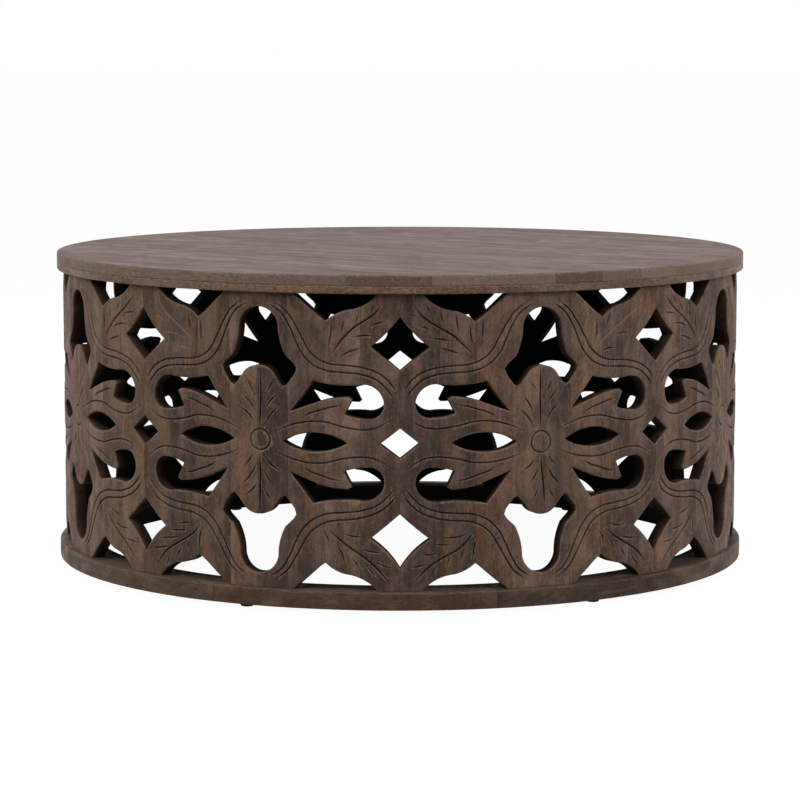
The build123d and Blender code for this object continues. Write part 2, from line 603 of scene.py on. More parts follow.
@dataclass(frozen=True)
class Groove:
    """One V-groove cut along a line.

    Args:
        line: template points in one quarter, per cent of the half panel.
        width: across its mouth.
        depth: of its bottom.
        taper: length over which it runs out at each end.
        sanded: rubbed pale instead of stained dark.
    """

    line: Sequence[tuple[float, float]]
    width: float = 2.8 * MM
    depth: float = 1.8 * MM
    taper: float = 8 * MM
    sanded: bool = False


# Outlines in one quarter: the first point, then straight legs of one point and arcs of two
BELL = [
    (0, 90), ((8, 87.8), (14.8, 78.4)), ((16.2, 67.6), (20.2, 57.4)), ((26.5, 51.9),),
    ((28.4, 49.1),), ((27.1, 45.4),), ((21.3, 38.4),), ((18.8, 37.2),), ((16.1, 39.4),),
    ((10.6, 46.3),), ((6.2, 49.2), (0, 50.3)),
]
CLAW = [
    (24.1, 20.2), ((40.9, 41.6),), ((56, 39.2), (72.3, 39.2)), ((86.6, 34.5), (89.6, 25.2)),
    ((86.7, 18.7), (77.7, 16.3)), ((69.6, 17.2), (62.7, 19.3)), ((68, 29.7),),
    ((65.4, 31.4),), ((52.9, 30), (42.8, 27.1)), ((24.1, 20.2),),
]
ALMOND = [(18.7, 0), ((42, 6.5), (65.3, 0))]
# From the seam at mid-height, up the side of a quarter and along its top to the middle
QUARTER_EDGE = [
    (87, 0), ((100, 10),), ((100, 47.7),), ((80.3, 64.6),), ((91.9, 74.6), (100, 84.8)),
    ((100, 100),), ((85.4, 100),), ((76.1, 92.3), (63.7, 88.6)), ((55.7, 85.8), (49, 81.4)),
    ((43.1, 85.4),), ((25.7, 100),), ((0, 100),),
]

RIBBON = [
    Groove([(14.5, 92.8), (22, 86.8), (27.9, 78.3), (33.2, 69.3), (38.6, 60.8),
            (45.5, 55.4), (54.6, 52.4), (65.3, 51.6), (76.6, 49.9), (85.7, 46.6),
            (92.1, 42.1), (96.9, 36.4)]),
    Groove([(9.6, 91.8), (17.7, 86.3), (23.6, 77.3), (27.9, 68.3), (32.7, 59.4),
            (40.7, 51.9), (50.9, 48.1), (62.1, 47.1), (73.9, 45.9), (84.6, 42.4),
            (91.6, 36.4), (95.3, 31.4)]),
]
CORNER_LEAF = [
    Groove([(52, 60.3), (55.2, 64.3), (60, 68.8), (66.4, 73.8), (73.9, 78.8),
            (80.3, 83.3), (86.2, 88.3), (91, 92.8)], width=3.2 * MM, taper=16 * MM),
    Groove([(58.9, 58.9), (65.3, 61.3), (72.8, 62.8)]),
    Groove([(65.3, 68.8), (72.3, 71.3), (80.9, 71.8)]),
    Groove([(79.3, 78.8), (84.6, 79.8), (91, 80.3)]),
    Groove([(50.3, 64.8), (52, 70.8), (52, 78.3)]),
    Groove([(58.9, 73.8), (60.5, 78.3), (61, 82.3)]),
    Groove([(69.6, 79.8), (71.8, 83.8), (73.4, 87.3)]),
    Groove([(79.8, 86.8), (81, 89.6), (82.5, 92.8)]),
]
WAVE = [
    Groove([(15, 7.5), (21.4, 10), (27.9, 12), (35.4, 13.5), (42.8, 14),
            (50.9, 13.5), (57.8, 11.7), (65.3, 10.2), (75, 9.2), (83, 10),
            (88.9, 12.5), (93.7, 15.5)], taper=25 * MM),
    Groove([(34.3, 17), (40.2, 20), (46.6, 21.9), (53.6, 24.2), (60, 25.4)],
           width=3.2 * MM),
]
PETAL = [
    Groove([(4.4, 11.5), (8.6, 16.6), (14.2, 21.6)]),
    Groove([(4.2, 20.6), (7.6, 25.6), (12.6, 31)]),
    Groove([(4.2, 32.4), (6.6, 37), (9.8, 41.6)]),
]
PETAL_RIB = Groove([(0, 8.5), (0, 20), (0, 33), (0, 46)], taper=18 * MM)
BUD_RADIUS = 14.0 * MM


def cuts(*lines: Sequence[tuple[float, float]], sanded: bool = False) -> list[Groove]:
    """Short cuts of a leaf or petal, dark or sanded pale."""
    depth = 0.7 * MM if sanded else 1.7 * MM
    return [Groove(x, width=3.0 * MM, depth=depth, taper=9 * MM, sanded=sanded) for x in lines]


def rib(*line: tuple[float, float], sanded: bool = False) -> list[Groove]:
    """The long cut in the middle of a leaf or petal, dark or sanded pale."""
    depth = 0.9 * MM if sanded else 2.0 * MM
    return [Groove(line, width=3.8 * MM, depth=depth, taper=18 * MM, sanded=sanded)]


# The two panels of the front side carry cuts of their own; the others repeat one quarter
LEFT_FRONT = [
    *rib((1.8, 8), (2, 20), (2.2, 33), (2, 46)),
    *cuts([(7, 33.5), (9.6, 38), (12.3, 42)], [(6.5, 23), (9.8, 27.6), (14, 31.5)],
          [(6.5, 12), (10, 17.6), (15, 23)], [(-3, 32.3), (-5.6, 37.6), (-8.7, 42.3)],
          [(-2, 20.5), (-6.2, 26.2), (-11, 31)], [(-3, 13), (-7.6, 18), (-13, 22)]),
    *rib((2.1, -10), (2.1, -22), (1.6, -33), (1.4, -44.5)),
    *cuts([(-3, -9), (-6, -13.8), (-9.8, -18)], [(-1, -17), (-5.2, -23.6), (-10.8, -30.2)],
          [(-0.5, -29.5), (-4.2, -34.4), (-9, -38.5)], [(5.5, -10.5), (10, -15.6), (16, -19.5)],
          [(5, -20.5), (7.6, -25.4), (11, -29.5)], [(5, -33), (7.2, -37.8), (10, -42)]),
    *rib((-50.5, 64), (-54, 66.5), (-60, 71), (-68, 76), (-75, 80.5),
         (-80, 85), (-84.5, 91), sanded=True),
    *cuts([(-55, 59), (-62, 60.5), (-71, 60)], [(-63, 68), (-72, 69.7), (-80, 70)],
          [(-80, 77.5), (-84, 79), (-90, 80)], [(-89, 87), (-92, 88.8), (-95, 90)],
          sanded=True),
    *cuts([(-46.5, 65.5), (-46.3, 72), (-46.5, 80)], [(-55.5, 72), (-56.5, 77.6), (-57, 83)],
          [(-67, 82.5), (-68.4, 85), (-69.2, 87.5)]),
    *rib((54, 60), (58, 65.5), (63, 71.5), (70, 77.5), (78, 82.5), (84, 87),
         (87.5, 92)),
    *cuts([(60, 57.5), (66, 61.2), (74.5, 63.8)], [(69, 71), (75, 72), (82, 71.9)],
          [(80, 78), (85, 80), (90, 81)], [(52, 65.5), (53, 71), (53.8, 78.5)],
          [(60.5, 74), (61.7, 78.2), (62.5, 82.5)], [(70, 79.5), (71.6, 83.2), (72.8, 86.8)],
          [(80.6, 86.6), (82.2, 90.2), (83, 94)]),
    *rib((-48.5, -60), (-53, -66), (-60, -71), (-68, -75.5), (-76, -80),
         (-83, -86), (-89, -93.5)),
    *cuts([(-56, -59.3), (-61.5, -60.2), (-67, -61)], [(-60, -65), (-67, -66.4), (-75, -67)],
          [(-68, -71.5), (-76, -73), (-84, -74)], [(-77, -79), (-84, -80.6), (-93, -82)],
          [(-46.5, -62), (-48.2, -69), (-49, -77)], [(-57.5, -72.5), (-58.5, -76.2), (-59.2, -80)],
          [(-65, -78), (-67, -82), (-69.5, -86.5)], [(-76, -85.5), (-78, -89.4), (-79.2, -92.8)]),
    *rib((52, -58), (58, -64), (66, -70.5), (74, -75.6), (80, -80), (85, -84.6),
         (91.5, -92)),
    *cuts([(62, -60.5), (68, -62.6), (75.5, -63.2)], [(76, -72), (81, -73.6), (87, -74)],
          [(86, -81), (90, -83), (94, -84)], [(48.5, -60), (50.6, -64), (51.6, -68)],
          [(58, -70), (61, -75), (63, -81)], [(68, -77.5), (71, -81.2), (73.5, -85)],
          [(79, -83.5), (81.2, -86.4), (83, -89.5)]),
]
RIGHT_FRONT = [
    *rib((-1.4, 8), (-1.4, 20), (-1.8, 33), (-2, 49)),
    *cuts([(3, 32), (5.4, 37.2), (8.5, 41.5)], [(4.5, 25), (7.4, 29.6), (11, 33.5)],
          [(3.5, 12), (7.4, 18.8), (13, 24.5)], [(-4.6, 34.5), (-7.4, 37.2), (-10, 39.4)],
          [(-7, 19), (-10.6, 25.6), (-15, 31)], [(-7, 10), (-11, 15.8), (-16.5, 21)]),
    *rib((-1.2, -10), (-0.6, -18), (1, -31), (2.2, -45)),
    *cuts([(-5.5, -12), (-9.6, -17), (-15, -21)], [(-3, -19), (-6, -24.6), (-10, -29.5)],
          [(-3.5, -32), (-5, -36.2), (-7.2, -40)], [(4.8, -10.7), (7.4, -14.4), (10.5, -17.5)],
          [(4.5, -19.5), (8.4, -25.2), (14, -30)], [(5.5, -32.5), (7.6, -36.4), (9.8, -39.8)]),
    *rib((-51.5, 60.5), (-58, 66.5), (-65, 72.5), (-75, 78), (-83, 83),
         (-87.5, 87.2), (-91, 92.5)),
    *cuts([(-60, 60), (-67, 62.4), (-74, 64)], [(-66, 68.7), (-72, 70), (-79, 70.5)],
          [(-81, 76), (-83.2, 77.6), (-88, 78.4)], [(-89, 84.6), (-92, 86), (-95, 86.6)],
          [(-80.5, 87.5), (-82, 90.5), (-83.2, 93.8)], [(-71, 80), (-73, 85), (-74, 90)],
          [(-60.5, 74.5), (-62.4, 81), (-63, 87)], [(-50.5, 66), (-52.5, 72.6), (-52.6, 79.5)],
          [(-44.4, 69), (-44, 76), (-44, 84.5)]),
    *cuts([(-80, 70.2), (-84, 70.6), (-87, 70.4)], [(-84, 77.4), (-88, 78.6), (-92, 78.8)],
          [(-86.4, 85.6), (-88.2, 88.6), (-91, 92.4)], sanded=True),
    *rib((44, 61), (50, 66.2), (58, 71.5), (67, 77), (75, 82), (85, 87.5), sanded=True),
    *cuts([(72, 87), (74.4, 89.2), (76.6, 91)], [(78, 85), (81.4, 87.8), (84.5, 90.5)],
          [(83, 85), (86.8, 87.2), (90.5, 88.6)], [(57, 66), (60, 67.6), (64, 68.4)],
          sanded=True),
    *cuts([(48, 58.4), (54, 60), (60, 59.8)], [(62, 68), (66.5, 69), (72, 68.4)],
          [(51.5, 75.5), (54.2, 80.6), (55.4, 86)], [(41.4, 65.5), (43.4, 71.6), (43.6, 79)]),
    *rib((-51, -60.5), (-55, -65.5), (-61, -71.5), (-69, -76), (-77, -80.5),
         (-84, -86), (-90, -92.5)),
    *cuts([(-56, -61), (-63, -63), (-71, -63.2)], [(-66, -68), (-71.6, -68.6), (-77, -68.2)],
          [(-77, -75), (-81.6, -75.8), (-86, -75)], [(-83, -82), (-88, -83.2), (-92.5, -83.7)],
          [(-48.5, -65), (-50.2, -71), (-51, -78)], [(-57, -71), (-58.8, -76), (-59.5, -80.5)],
          [(-67, -77), (-68.4, -80), (-69.6, -83)],
          [(-76.4, -83.6), (-78.2, -86.6), (-79.6, -89.4)]),
    *rib((53, -64), (60, -69), (67, -73.2), (76, -78), (82, -82.2), (87, -87),
         (91, -91.5)),
    *cuts([(57, -61), (62.5, -62.7), (69, -63.2)], [(67, -70.5), (73, -72.2), (81, -73.2)],
          [(47.5, -65), (50.2, -70), (51, -75.5)], [(56, -71), (59.2, -75), (60.8, -79.5)],
          [(66, -78), (69.2, -82), (71.2, -86)], [(77, -85), (80, -89), (82.2, -92.5)]),
]


# Panels with veins of their own: their cuts, and where the bud's middle is, in per cent
OWN_VEINS = {7: (LEFT_FRONT, (2.2, 0.8)), 0: (RIGHT_FRONT, (-0.9, -0.8))}
QUARTERS = ((1, 1), (-1, 1), (-1, -1), (1, -1))


@dataclass
class CarvingTemplate:
    """Outlines and grooves of one panel, flat, in metres from its middle.

    Args:
        half_width: from the middle to a side seam.
        half_height: from the middle to the upper edge.
        own_cuts: veins of this panel's leaves and petals, or none for the common ones.
        bud: middle of the flower's bud, per cent of the half panel.
        step: between points along an outline.
        groove_step: between points along a groove.
        bud_points: along the circle round the bud.
        bud_width: of the groove round the bud.
    """

    half_width: float
    half_height: float
    own_cuts: Sequence[Groove] = ()
    bud: tuple[float, float] = (0.0, 0.0)
    step: float = 2.4 * MM
    groove_step: float = 2.2 * MM
    bud_points: int = 42
    bud_width: float = 2.2 * MM

    def _scaled(self, points: Sequence, side: int, level: int) -> Points:
        """Template points in metres, in the quarter given by two signs."""
        scale = np.array([side * self.half_width, level * self.half_height]) / 100
        return np.asarray(points, float) * scale

    def _traced(self, outline: Sequence, side: int = 1, level: int = 1) -> Points:
        """Follow one outline.

        Args:
            outline: its first point and its legs, of one point if straight, else two.
            side: 1 for the right half of the panel, -1 for the left.
            level: 1 for the upper half, -1 for the lower.

        Returns:
            (n, 2) places with both ends.
        """
        run = [self._scaled([outline[0]], side, level)]
        for leg in outline[1:]:
            start, points = run[-1][-1], self._scaled(leg, side, level)
            if len(points) == 1:
                run.append(straight_to(start, points[0], self.step))
            else:
                run.append(arc_through(start, points[0], points[1], self.step))
        return np.concatenate(run)

    def edge(self) -> Points:
        """The panel's own edge, anticlockwise, with its notches and half diamonds."""
        quarters = []
        for side, level in QUARTERS:
            points = self._traced(QUARTER_EDGE, side, level)
            quarters.append((points if side * level > 0 else points[::-1])[:-1])
        return np.concatenate(quarters)

    def openings(self) -> list[Points]:
        """Every opening inside the edge, clockwise, so that wood lies on its left."""
        loops = []
        for level in (1, -1):
            right = self._traced(BELL, 1, level)
            left = self._traced(BELL, -1, level)
            loops.append(np.concatenate([right, left[-2:0:-1]]))
        for side in (1, -1):
            upper = self._traced(ALMOND, side, 1)
            lower = self._traced(ALMOND, side, -1)
            loops.append(np.concatenate([upper, lower[-2:0:-1]]))
            for level in (1, -1):
                loops.append(self._traced(CLAW, side, level)[:-1])
        return [x if signed_area(x) < 0 else x[::-1] for x in loops]

    def grooves(self) -> list[tuple[Points, Groove]]:
        """Lay out every groove of the panel.

        Returns:
            For each, its line in even steps and the groove that it follows.
        """
        placed = []
        quarter = [*RIBBON, *WAVE]
        if self.own_cuts:
            placed += [(groove, 1, 1) for groove in self.own_cuts]
        else:
            quarter += [*CORNER_LEAF, *PETAL]
            placed += [(PETAL_RIB, 1, level) for level in (1, -1)]
        for side, level in ((1, 1), (1, -1), (-1, 1), (-1, -1)):
            placed += [(groove, side, level) for groove in quarter]
        lines = []
        for groove, side, level in placed:
            points = self._scaled(groove.line, side, level)
            lines.append((along_path(points, self.groove_step), groove))
        turn = np.linspace(0, 2 * math.pi, self.bud_points)
        bud = BUD_RADIUS * np.stack([np.cos(turn), np.sin(turn)], axis=-1)
        bud = bud + self._scaled([self.bud], 1, 1)
        lines.append((bud, Groove([], width=self.bud_width, taper=0.0)))
        return lines


@dataclass(frozen=True)
class CarvedSheet:
    """Triangles of one face of a panel, flat.

    Args:
        points: (n, 2) places, the boundary loops first.
        faces: (m, 3) anticlockwise triangles.
        drop: how far each point lies under the face, in metres.
        painted_shade_and_joints: painted shade, 1 at the bottom of a groove, 0 on the face.
        arris: 1 at the edge of an opening, 0 well inside the face; at the front also on the lips
            of the grooves, worn pale and partly a painted highlight.
        worn: 1 in the cuts that are sanded pale.
    """

    points: Points
    faces: np.ndarray
    drop: Points
    painted_shade_and_joints: Points
    arris: Points
    worn: Points


@dataclass
class CarvedRelief:
    """Works out the front and the back of a panel from the carving template.

    Both are Delaunay triangles over the outlines, rows of points beside every edge
    and groove, and a lattice between them. Their depth is a function of the distance
    to the nearest edge and to the nearest groove: a quarter ellipse at an edge, a
    parabola on the shoulder beside an opening, and a V in a groove.

    Args:
        template: outlines and grooves.
        round_width: how far a softened edge reaches into the face.
        round_depth: how far it drops at the edge.
        back_depth: the same at the edges of the inner face.
        rub_width: how far the wear of an edge reaches into the face.
        full_cut: depth of a groove whose bottom is fully dark with painted shade.
        full_sand: depth of a sanded groove that is fully pale.
        joint_width: how far a softened seam reaches into the face.
        joint_depth: the drop at the seams and the edges that meet the rings.
        lip_wear_and_highlight: how much of an arris the lips of the grooves are: worn pale, and
            partly a painted highlight.
        lip_place: how far a lip is from the middle of its groove.
        lip_width: of the pale band on a lip, worn and partly a painted highlight.
        shoulder_width: width of the sanded fall of the face towards an opening.
        shoulder_depth: how deep that fall is at the opening.
        lattice: distance between points on the plain face.
        clear_edge: least distance of the lattice to the edges, at the front.
        clear_back: the same at the back.
        clear_cut: its least distance to the dark grooves.
        clear_groove: least distance of a groove's points to the edges.
        least: cell of the grids that thin out crowded points.
        front_rows: distances of the rows beside an edge, at the front.
        back_rows: the same at the back.
        groove_rows: rows beside a groove's middle, in shares of its half-width.
    """

    template: CarvingTemplate
    round_width: float = 2.4 * MM
    round_depth: float = 1.2 * MM
    back_depth: float = 0.8 * MM
    rub_width: float = 4.6 * MM
    full_cut: float = 1.3 * MM
    full_sand: float = 0.7 * MM
    joint_width: float = 0.8 * MM
    joint_depth: float = 0.35 * MM
    lip_wear_and_highlight: float = 1.0
    lip_place: float = 1.7 * MM
    lip_width: float = 0.9 * MM
    shoulder_width: float = 10 * MM
    shoulder_depth: float = 0.8 * MM
    lattice: float = 8.0 * MM
    clear_edge: float = 5.5 * MM
    clear_back: float = 4.0 * MM
    clear_cut: float = 4.0 * MM
    clear_groove: float = 0.4 * MM
    least: float = 0.3 * MM
    front_rows: tuple[float, ...] = (0.15 * MM, 0.5 * MM, 1.2 * MM, 2.4 * MM, 4.6 * MM)
    back_rows: tuple[float, ...] = (0.6 * MM, 2.4 * MM)
    groove_rows: tuple[float, ...] = (0.0, 0.5, 0.95, 1.6)

    # A groove's width and depth run out as the distance to its end to this power, down
    # to this share of the taper
    RUN_OUT = 0.6
    FAINTEST = 0.12
    # A row's points stay where no edge is nearer than this share of the row's distance
    ROW_CLEAR = 0.8

    def __post_init__(self) -> None:
        """Trace the loops once."""
        self.loops = [self.template.edge(), *self.template.openings()]
        self.edges = Segments.of_loops(self.loops)
        limit = np.array([self.template.half_width, self.template.half_height]) - TOUCHING
        on_joint = (np.abs(self.edges.starts) > limit) & (np.abs(self.edges.ends) > limit)
        self.joints = self.edges.only(on_joint.any(axis=1))
        self.free = self.edges.only(~on_joint.any(axis=1))
        self.cuts = self._groove_cuts(False)
        self.sanded = self._groove_cuts(True)

    def _beside_edges(self, rows: Sequence[float]) -> Points:
        """Lay rows of points inside the wood beside every loop.

        Args:
            rows: their distances to the loop.

        Returns:
            (n, 2) places, without those that come too near to another stretch.
        """
        found = []
        for loop in self.loops:
            normals = left_normals(loop)
            for row in rows:
                points = loop + row * normals
                found.append(points[self.edges.distance(points) > self.ROW_CLEAR * row])
        return np.concatenate(found)

    def _groove_cuts(self, sanded: bool) -> Optional[Segments]:
        """Gather the dark or the sanded grooves.

        Args:
            sanded: which of the two.

        Returns:
            Their segments with half-widths and depths, or None if there are none.
        """
        starts, ends, values = [], [], []
        for line, groove in self.template.grooves():
            if groove.sanded != sanded:
                continue
            run = np.linspace(0, 1, len(line)) * self.template.groove_step * (len(line) - 1)
            out = np.minimum(run, run[-1] - run) / max(groove.taper, TINY)
            share = np.clip(out, self.FAINTEST, 1) ** self.RUN_OUT if groove.taper else 1 + 0 * out
            size = np.stack([share * groove.width / 2, share * groove.depth], axis=-1)
            starts.append(line[:-1])
            ends.append(line[1:])
            values.append(np.stack([size[:-1], size[1:]], axis=1))
        if not starts:
            return None
        return Segments(*(np.concatenate(x) for x in (starts, ends, values)))

    def _beside_grooves(self) -> Points:
        """Rows of points along every groove: its bottom, its sides and its lips."""
        found = []
        for line, groove in self.template.grooves():
            left = left_of(np.gradient(line, axis=0))
            for share in self.groove_rows:
                for side in (1, -1) if share else (1,):
                    found.append(line + side * share * groove.width / 2 * left)
        return np.concatenate(found)

    def _lattice_points(self) -> Points:
        """Triangular lattice over the whole panel."""
        w, h = self.template.half_width, self.template.half_height
        row = self.lattice * math.sqrt(3) / 2
        u, v = np.meshgrid(np.arange(-w, w, self.lattice), np.arange(-h, h, row))
        u[1::2] += self.lattice / 2
        return np.stack([u.ravel(), v.ravel()], axis=-1)

    def _wooden(self, points: Points, clear: float) -> Points:
        """Those points that lie in the wood, at least so far from its edges."""
        points = points[self.edges.around(points)]
        return points[self.edges.distance(points) > clear]

    def _triangles(self, points: Points) -> np.ndarray:
        """Make the Delaunay triangles of points that keep to the loops.

        Args:
            points: (n, 2) places, those of the loops first.

        Returns:
            (m, 3) anticlockwise numbers of points, only in the wood.
        """
        edges, start = [], 0
        for loop in self.loops:
            ids = np.arange(start, start + len(loop))
            edges += np.stack([ids, np.roll(ids, -1)], axis=-1).tolist()
            start += len(loop)
        made = delaunay_2d_cdt(points.tolist(), edges, [], 0, TINY)
        if len(made[0]) != len(points):
            raise ValueError("the outlines of the carving cross or repeat a point")
        faces = np.array([f for f in made[2] if len(f) == 3])
        middles = points[faces].mean(axis=1)
        return faces[self.edges.around(middles)]

    def _edge_drop(self, points: Points, depth: float) -> tuple[Points, Points]:
        """Soften the edges with quarter ellipses.

        Args:
            points: (n, 2) places.
            depth: of the softening at an opening.

        Returns:
            The drop at each place, and how much of an arris it is (0 to 1).
        """
        free, joint = self.free.distance(points), self.joints.distance(points)
        drop = np.maximum(
            depth * quarter_round(falloff(free, self.round_width)),
            self.joint_depth * quarter_round(falloff(joint, self.joint_width)),
        )
        return drop, falloff(free, self.rub_width)

    def front(self) -> CarvedSheet:
        """The carved outer face: the deepest of softening and shoulder, cuts and sanded cuts."""
        loops = np.concatenate(self.loops)
        beside = self._wooden(self._beside_grooves(), self.clear_groove)
        rows = self._beside_edges(self.front_rows)
        plain = self._wooden(self._lattice_points(), self.clear_edge)
        plain = plain[self.cuts.distance(plain) > self.clear_cut]
        points = thinned([loops, beside, rows, plain], self.least)
        faces = self._triangles(points)
        drop, arris = self._edge_drop(points, self.round_depth)
        shoulder = falloff(self.free.distance(points), self.shoulder_width)
        drop = drop + self.shoulder_depth * shoulder**2
        cut = self.cuts.deepest(points)
        # Painted shade: the bottom of a groove is coloured darker the deeper it is cut
        painted_shade_and_joints = np.clip(cut / self.full_cut, 0, 1)
        # The lips of the grooves are coloured pale like a worn arris: partly wear, partly a
        # painted highlight
        off_lip = (self.cuts.distance(points) - self.lip_place) / self.lip_width
        arris = np.maximum(arris, self.lip_wear_and_highlight * np.exp(-(off_lip**2)))
        pale = self.sanded.deepest(points) if self.sanded else np.zeros(len(points))
        worn = np.clip(pale / self.full_sand, 0, 1)
        drop = np.maximum(drop, np.maximum(cut, pale))
        return CarvedSheet(points, faces, drop, painted_shade_and_joints, arris, worn)

    def back(self) -> CarvedSheet:
        """The plain inner face."""
        loops = np.concatenate(self.loops)
        rows = self._beside_edges(self.back_rows)
        plain = self._wooden(self._lattice_points(), self.clear_back)
        points = thinned([loops, rows, plain], self.least)
        faces = self._triangles(points)
        drop, arris = self._edge_drop(points, self.back_depth)
        none = np.zeros(len(points))
        return CarvedSheet(points, faces, drop, none, arris, none)


def thinned(groups: Sequence[Points], least: float) -> Points:
    """Groups of points one after another, without those too near a point before them.

    A point is dropped where an earlier one lies in the same cell of either of two grids
    half a cell apart.

    Args:
        groups: (n, 2) places; those of the first group all stay.
        least: side of a cell.

    Returns:
        The places that stay.
    """
    points = np.concatenate(groups)
    kept = np.ones(len(points), bool)
    kept_always = len(groups[0])
    for shift in (0.0, 0.5):
        _, first = np.unique(cell_keys(points, least, shift), return_index=True)
        alone = np.zeros(len(points), bool)
        alone[first] = True
        kept &= alone
    kept[:kept_always] = True
    return points[kept]


# ---------- shaders


def srgb(red: float, green: float, blue: float) -> Colour:
    """Linear colour of a display colour.

    Args:
        red: from 0 to 255.
        green: from 0 to 255.
        blue: from 0 to 255.

    Returns:
        The colour with shares from 0 to 1.
    """

    def linear(value: float) -> float:
        """One share by the sRGB curve."""
        value /= 255
        return value / 12.92 if value <= 0.04045 else ((value + 0.055) / 1.055) ** 2.4

    return linear(red), linear(green), linear(blue)


def rgba(colour: Colour) -> tuple[float, float, float, float]:
    """The colour with full alpha."""
    return (*colour, 1.0)


Socket = bpy.types.NodeSocket
FLOAT = "NodeSocketFloat"


class Shader:
    """Short way to add and link nodes in one node tree."""

    def __init__(self, tree: bpy.types.NodeTree) -> None:
        """Keep the tree whose nodes are made."""
        self.tree = tree

    def node(self, kind: str, inputs: Optional[dict] = None, **settings) -> bpy.types.Node:
        """Add a node.

        Args:
            kind: its type without the ShaderNode prefix.
            inputs: values or sockets by input name or number.
            settings: its own properties.

        Returns:
            The node.
        """
        made = self.tree.nodes.new(f"ShaderNode{kind}" if kind[:4] != "Node" else kind)
        for key, value in settings.items():
            setattr(made, key, value)
        for key, value in (inputs or {}).items():
            self.feed(made.inputs[key], value)
        return made

    def feed(self, socket: Socket, value: object) -> None:
        """Link a socket into an input, or set the input's own value."""
        if isinstance(value, Socket):
            self.tree.links.new(value, socket)
        else:
            socket.default_value = value

    def math(self, operation: str, a: object, b: object = 0.0, clamp: bool = False) -> Socket:
        """One value worked out from two, perhaps kept from 0 to 1."""
        return self.node("Math", {0: a, 1: b}, operation=operation, use_clamp=clamp).outputs[0]

    def vector(self, operation: str, a: object, b: object) -> Socket:
        """One vector worked out from two."""
        return self.node("VectorMath", {0: a, 1: b}, operation=operation).outputs[0]

    def noise(self, vector: object, scale: float, detail: float = 3.0,
              roughness: float = 0.5, distortion: float = 0.0) -> Socket:
        """Value from 0 to 1 of a noise with so many octaves."""
        return self.node("TexNoise", {
            "Vector": vector, "Scale": scale, "Detail": detail,
            "Roughness": roughness, "Distortion": distortion,
        }).outputs["Fac"]

    def between(self, value: object, low: object, high: object,
                to_low: object = 0.0, to_high: object = 1.0) -> Socket:
        """A value mapped smoothly from one range to another, and kept in it."""
        return self.node("MapRange", {
            "Value": value, "From Min": low, "From Max": high,
            "To Min": to_low, "To Max": to_high,
        }, interpolation_type="SMOOTHSTEP").outputs["Result"]

    def mix(self, factor: object, a: object, b: object) -> Socket:
        """The colour a where the factor is 0 and b where it is 1."""
        return self.node("Mix", {0: factor, 6: a, 7: b}, data_type="RGBA").outputs[2]

    def attribute(self, name: str, output: str) -> Socket:
        """Output of an attribute of the mesh."""
        return self.node("Attribute", attribute_name=name).outputs[output]

    def bump(self, surface: bpy.types.Node, height: Socket, depth: float,
             strength: float = 1.0) -> None:
        """Roughen a surface's normal by a height from 0 to 1 times a depth in metres."""
        made = self.node("Bump", {"Height": height, "Distance": depth, "Strength": strength})
        self.feed(surface.inputs["Normal"], made.outputs[0])


class SharedGroup:
    """A shader node group that materials share, with its inputs and its outputs."""

    NAME: str
    INPUTS: Sequence[tuple[str, str, Optional[float]]]
    OUTPUTS: Sequence[str]

    @classmethod
    def tree(cls) -> bpy.types.NodeTree:
        """Build the group once and give it back after that.

        Returns:
            The group, whose outputs are all numbers.
        """
        if cls.NAME in bpy.data.node_groups:
            return bpy.data.node_groups[cls.NAME]
        tree = bpy.data.node_groups.new(cls.NAME, "ShaderNodeTree")
        for label, kind, default in cls.INPUTS:
            socket = tree.interface.new_socket(label, in_out="INPUT", socket_type=kind)
            if default is not None:
                socket.default_value = default
        for label in cls.OUTPUTS:
            tree.interface.new_socket(label, in_out="OUTPUT", socket_type=FLOAT)
        sh = Shader(tree)
        cls._fill(sh, sh.node("NodeGroupInput").outputs, sh.node("NodeGroupOutput").inputs)
        return tree

    @classmethod
    def _fill(cls, sh: Shader, given: bpy.types.NodeOutputs, wanted: bpy.types.NodeInputs) -> None:
        """Link the wanted outputs of the group to what it is given."""
        raise NotImplementedError


@dataclass(frozen=True)
class Pattern:
    """A noise that is longer along the grain than across it.

    Args:
        along: its scale along the grain, in 1/m.
        across: its scale across the grain.
        detail: number of octaves.
        roughness: weight of the fine octaves.
        distortion: how far it is bent.
        low: its value that becomes 0.
        high: its value that becomes 1.
    """

    along: float
    across: float
    detail: float
    roughness: float
    distortion: float
    low: float
    high: float


